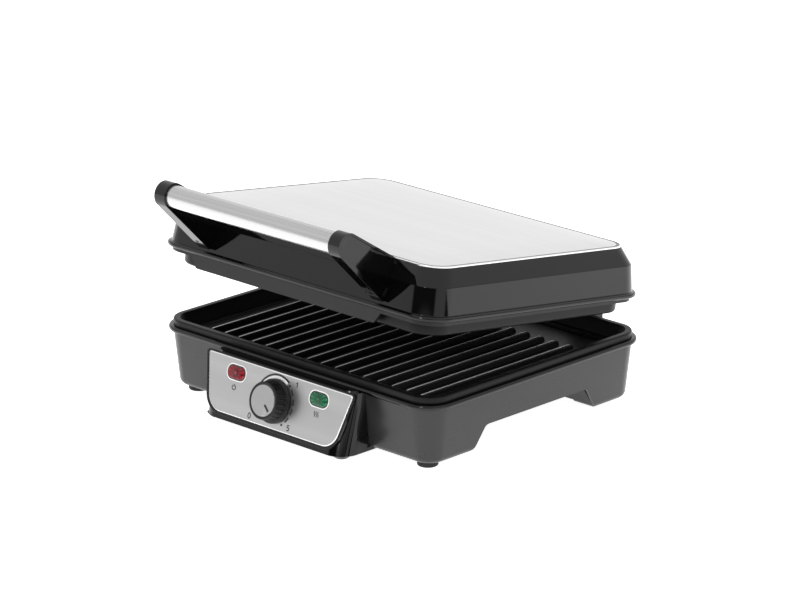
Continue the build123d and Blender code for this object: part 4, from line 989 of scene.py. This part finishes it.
sheet_steps = [(0.1, -0.8), (0.1, -0.05), (0.85, 0.3), (1.0, 0.3)]
panel_mesh = skin("panel_sheet", [panel_loop(shrink, z) for shrink, z in sheet_steps])
panel_mesh.materials.append(panel_sheet)
panel_mesh.materials.append(edge_highlight_metal)
# The chamfer faces carry the painted highlight of the edge.
ring_size = len(panel_loop(0, 0))
for face in panel_mesh.polygons[ring_size:2 * ring_size]:
    face.material_index = 1
made = piece("panel_sheet", shade(panel_mesh, 20), None, "base")
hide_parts("control_panel")
print("panel outline", ring_size, "points")

# %% [markdown]
# The panel is screen printed: a black arc, a white crescent, four dashes between two dots, the
# figures 0, 1 and 5, a power sign and a sign of rising heat. Ink lies some hundredths of a
# millimetre proud of the sheet. One function draws a stroke of ink along a path.

# %% Prints of the panel
PRINT_Z = 0.32
INK = 0.05


def stroke(path, width, closed=False):
    """Loops of a flat ink line along a path of points in the panel's plane."""
    points = [Vector(p) for p in path]
    count = len(points)
    loops = []
    for i, here in enumerate(points):
        before = points[i - 1] if closed or i > 0 else here
        after = points[(i + 1) % count] if closed or i < count - 1 else here
        side = (after - before).orthogonal().normalized() * width / 2
        a, b = here - side, here + side
        loops.append([PANEL @ Vector((q.x, q.y, z)) for q, z in (
            (a, PRINT_Z - INK), (b, PRINT_Z - INK), (b, PRINT_Z + INK), (a, PRINT_Z + INK))])
    return skin("stroke", loops, closed)


def clock(angle, radius, centre=(0, 0)):
    """Point at an angle clockwise from straight up."""
    return (centre[0] + radius * sin(radians(angle)), centre[1] + radius * cos(radians(angle)))


def sweep(first, last, radius, centre=(0, 0), steps=24):
    """Points of an arc between two clockwise angles."""
    return [clock(first + (last - first) * i / steps, radius, centre) for i in range(steps + 1)]


def pill(length, height, radius, centre):
    """Outline of a jewel's window."""
    return [(x + centre[0], y + centre[1]) for x, y in rounded_points(length, height, radius, 6)]


def printed(name, meshes, material):
    """Joins strokes into one printed piece."""
    work = bmesh.new()
    for mesh in meshes:
        work.from_mesh(mesh)
        bpy.data.meshes.remove(mesh)
    joined = bpy.data.meshes.new(name)
    work.to_mesh(joined)
    work.free()
    return piece(name, joined, material, "base")


JEWELS = ((-JEWEL_X, JEWEL_Y), (JEWEL_X, JEWEL_Y))
SIGN_Y = 0.4
SIGN_LINE = 0.85
FIGURE_LINE = 0.95
DASH_RADIUS = 21.7
power_at, heat_at = (-JEWEL_X, SIGN_Y), (JEWEL_X, SIGN_Y)
black = [stroke(sweep(-125, 34.5, 22.6, steps=60), 1.7)]
for start in (51, 73, 95, 117):
    black += [stroke(sweep(start, start + 14.5, DASH_RADIUS, steps=8), 1.5)]
for angle in (41, 144):
    black += [stroke(sweep(0, 340, 0.55, clock(angle, DASH_RADIUS), 12), 1.1)]
turns = [radians(angle) for angle in range(0, 360, 15)]
figure_0 = [(-25.8 + 1.4 * sin(turn), -18.6 + 2.3 * cos(turn)) for turn in turns]
black += [stroke(figure_0, FIGURE_LINE, closed=True)]
black += [stroke([(20.8, 20.0), (22.4, 21.5), (22.4, 16.9)], FIGURE_LINE)]
figure_5 = [(22.4, -16.1), (20.0, -16.1), (19.8, -18.1)] + sweep(-40, 215, 1.4, (20.8, -19.2), 12)
black += [stroke(figure_5, FIGURE_LINE)]
black += [stroke(sweep(38, 322, 2.1, power_at, 24), SIGN_LINE)]
black += [stroke([(power_at[0], power_at[1] + 0.4), (power_at[0], power_at[1] + 2.9)], SIGN_LINE)]
for shift in (-2.1, 0.0, 2.1):
    x, y = heat_at[0] + shift, heat_at[1] - 2.3
    wave = [(x + 0.5 * sin(tau * i / 12), y + 4.6 * i / 12) for i in range(13)]
    black += [stroke(wave, 0.8)]
black += [stroke(pill(20.9, 11.9, 5.45, at), 0.9, closed=True) for at in JEWELS]
printed("panel_print_black", black, ink)
white = [stroke(pill(22.7, 13.7, 6.3, at), 0.9, closed=True) for at in JEWELS]
white += [stroke(sweep(-85, 33, 20.4, steps=40), 2.2)]
printed("panel_print_white", white, white_ink)
print("strokes", len(black), "black and", len(white), "white")

# %% [markdown]
# The knob is turned in one piece: a flange behind, a skirt that narrows to the front and a lip
# round the silver cap. Twenty-four soft ridges give the fingers a hold.

# %% Knob


def lathe(name, frame_of, profile, steps=96):
    """Turns a profile of (radius, height) pairs round the axis of a plane."""
    turns = [tau * i / steps for i in range(steps)]
    loops = []
    for radius, z in profile:
        loops.append([frame_of @ Vector((radius * cos(a), radius * sin(a), z)) for a in turns])
    return skin(name, loops)


KNOB_BACK = 0.85
FLANGE_RADIUS = 19.2
CAP_RADIUS = 13.8
CAP_SEAT = 13.7
KNOB_EYE = 0.5
knob_profile = round_profile([
    (KNOB_EYE, KNOB_BACK, 0), (FLANGE_RADIUS, KNOB_BACK, 0.3), (FLANGE_RADIUS, 3.6, 0.7),
    (17.2, 3.9, 0.5), (16.0, 13.4, 0.5), (16.2, 14.3, 0.35), (15.6, 14.9, 0.4),
    (CAP_RADIUS, 14.85, 0.2), (CAP_RADIUS, CAP_SEAT, 0), (KNOB_EYE, CAP_SEAT, 0)], steps=4)
grip = shade(lathe("knob_grip", PANEL, knob_profile), 30)
made = piece("knob_grip", grip, black_nylon, "knob")
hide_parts("thermostat_knob")

ridges, given = growth(
    "knob_ridges", Count="Int", Radius="Float", Lean="Float", Length="Float", Width="Float",
    Material="Material")
ball = add(ridges, "GeometryNodeMeshUVSphere", {"Segments": 10, "Rings": 8, "Radius": 0.5})
bar_sides = {0: given["Width"], 1: given["Width"], 2: given["Length"]}
bar_size = add(ridges, "ShaderNodeCombineXYZ", bar_sides)
bar_turn = add(ridges, "ShaderNodeCombineXYZ", {1: given["Lean"]})
bar = add(ridges, "GeometryNodeTransform", {
    "Geometry": ball.outputs[0], "Scale": bar_size.outputs[0], "Rotation": bar_turn.outputs[0]})
ring = add(ridges, "GeometryNodeMeshCircle", {
    "Vertices": given["Count"], "Radius": given["Radius"]})
step = calc(ridges, "DIVIDE", tau, given["Count"])
turned = calc(ridges, "MULTIPLY", step, add(ridges, "GeometryNodeInputIndex").outputs[0])
facing = add(ridges, "ShaderNodeCombineXYZ", {2: turned}).outputs[0]
repeat(ridges, given, ring.outputs[0], bar.outputs[0], Rotation=facing)
RIDGE_MIDDLE = 8.4
ridge_frame = PANEL @ Matrix.Translation((0, 0, RIDGE_MIDDLE))
grow("knob_ridges", ridges, ridge_frame, "knob", "black_gloss_plastic", Count=24,
     Radius=16.1, Lean=radians(-7.2), Length=10.6, Width=2.3, Material=black_nylon)

POINTER_ANGLE = 132
POINTER_LIFT = 14.62
pointer = [clock(POINTER_ANGLE, reach) for reach in (4.3, 11.5)]
pointer_mesh = stroke(pointer, 2.0)
pointer_mesh.transform(PANEL @ Matrix.Translation((0, 0, POINTER_LIFT)) @ PANEL.inverted())
piece("knob_pointer", pointer_mesh, ink, "knob")
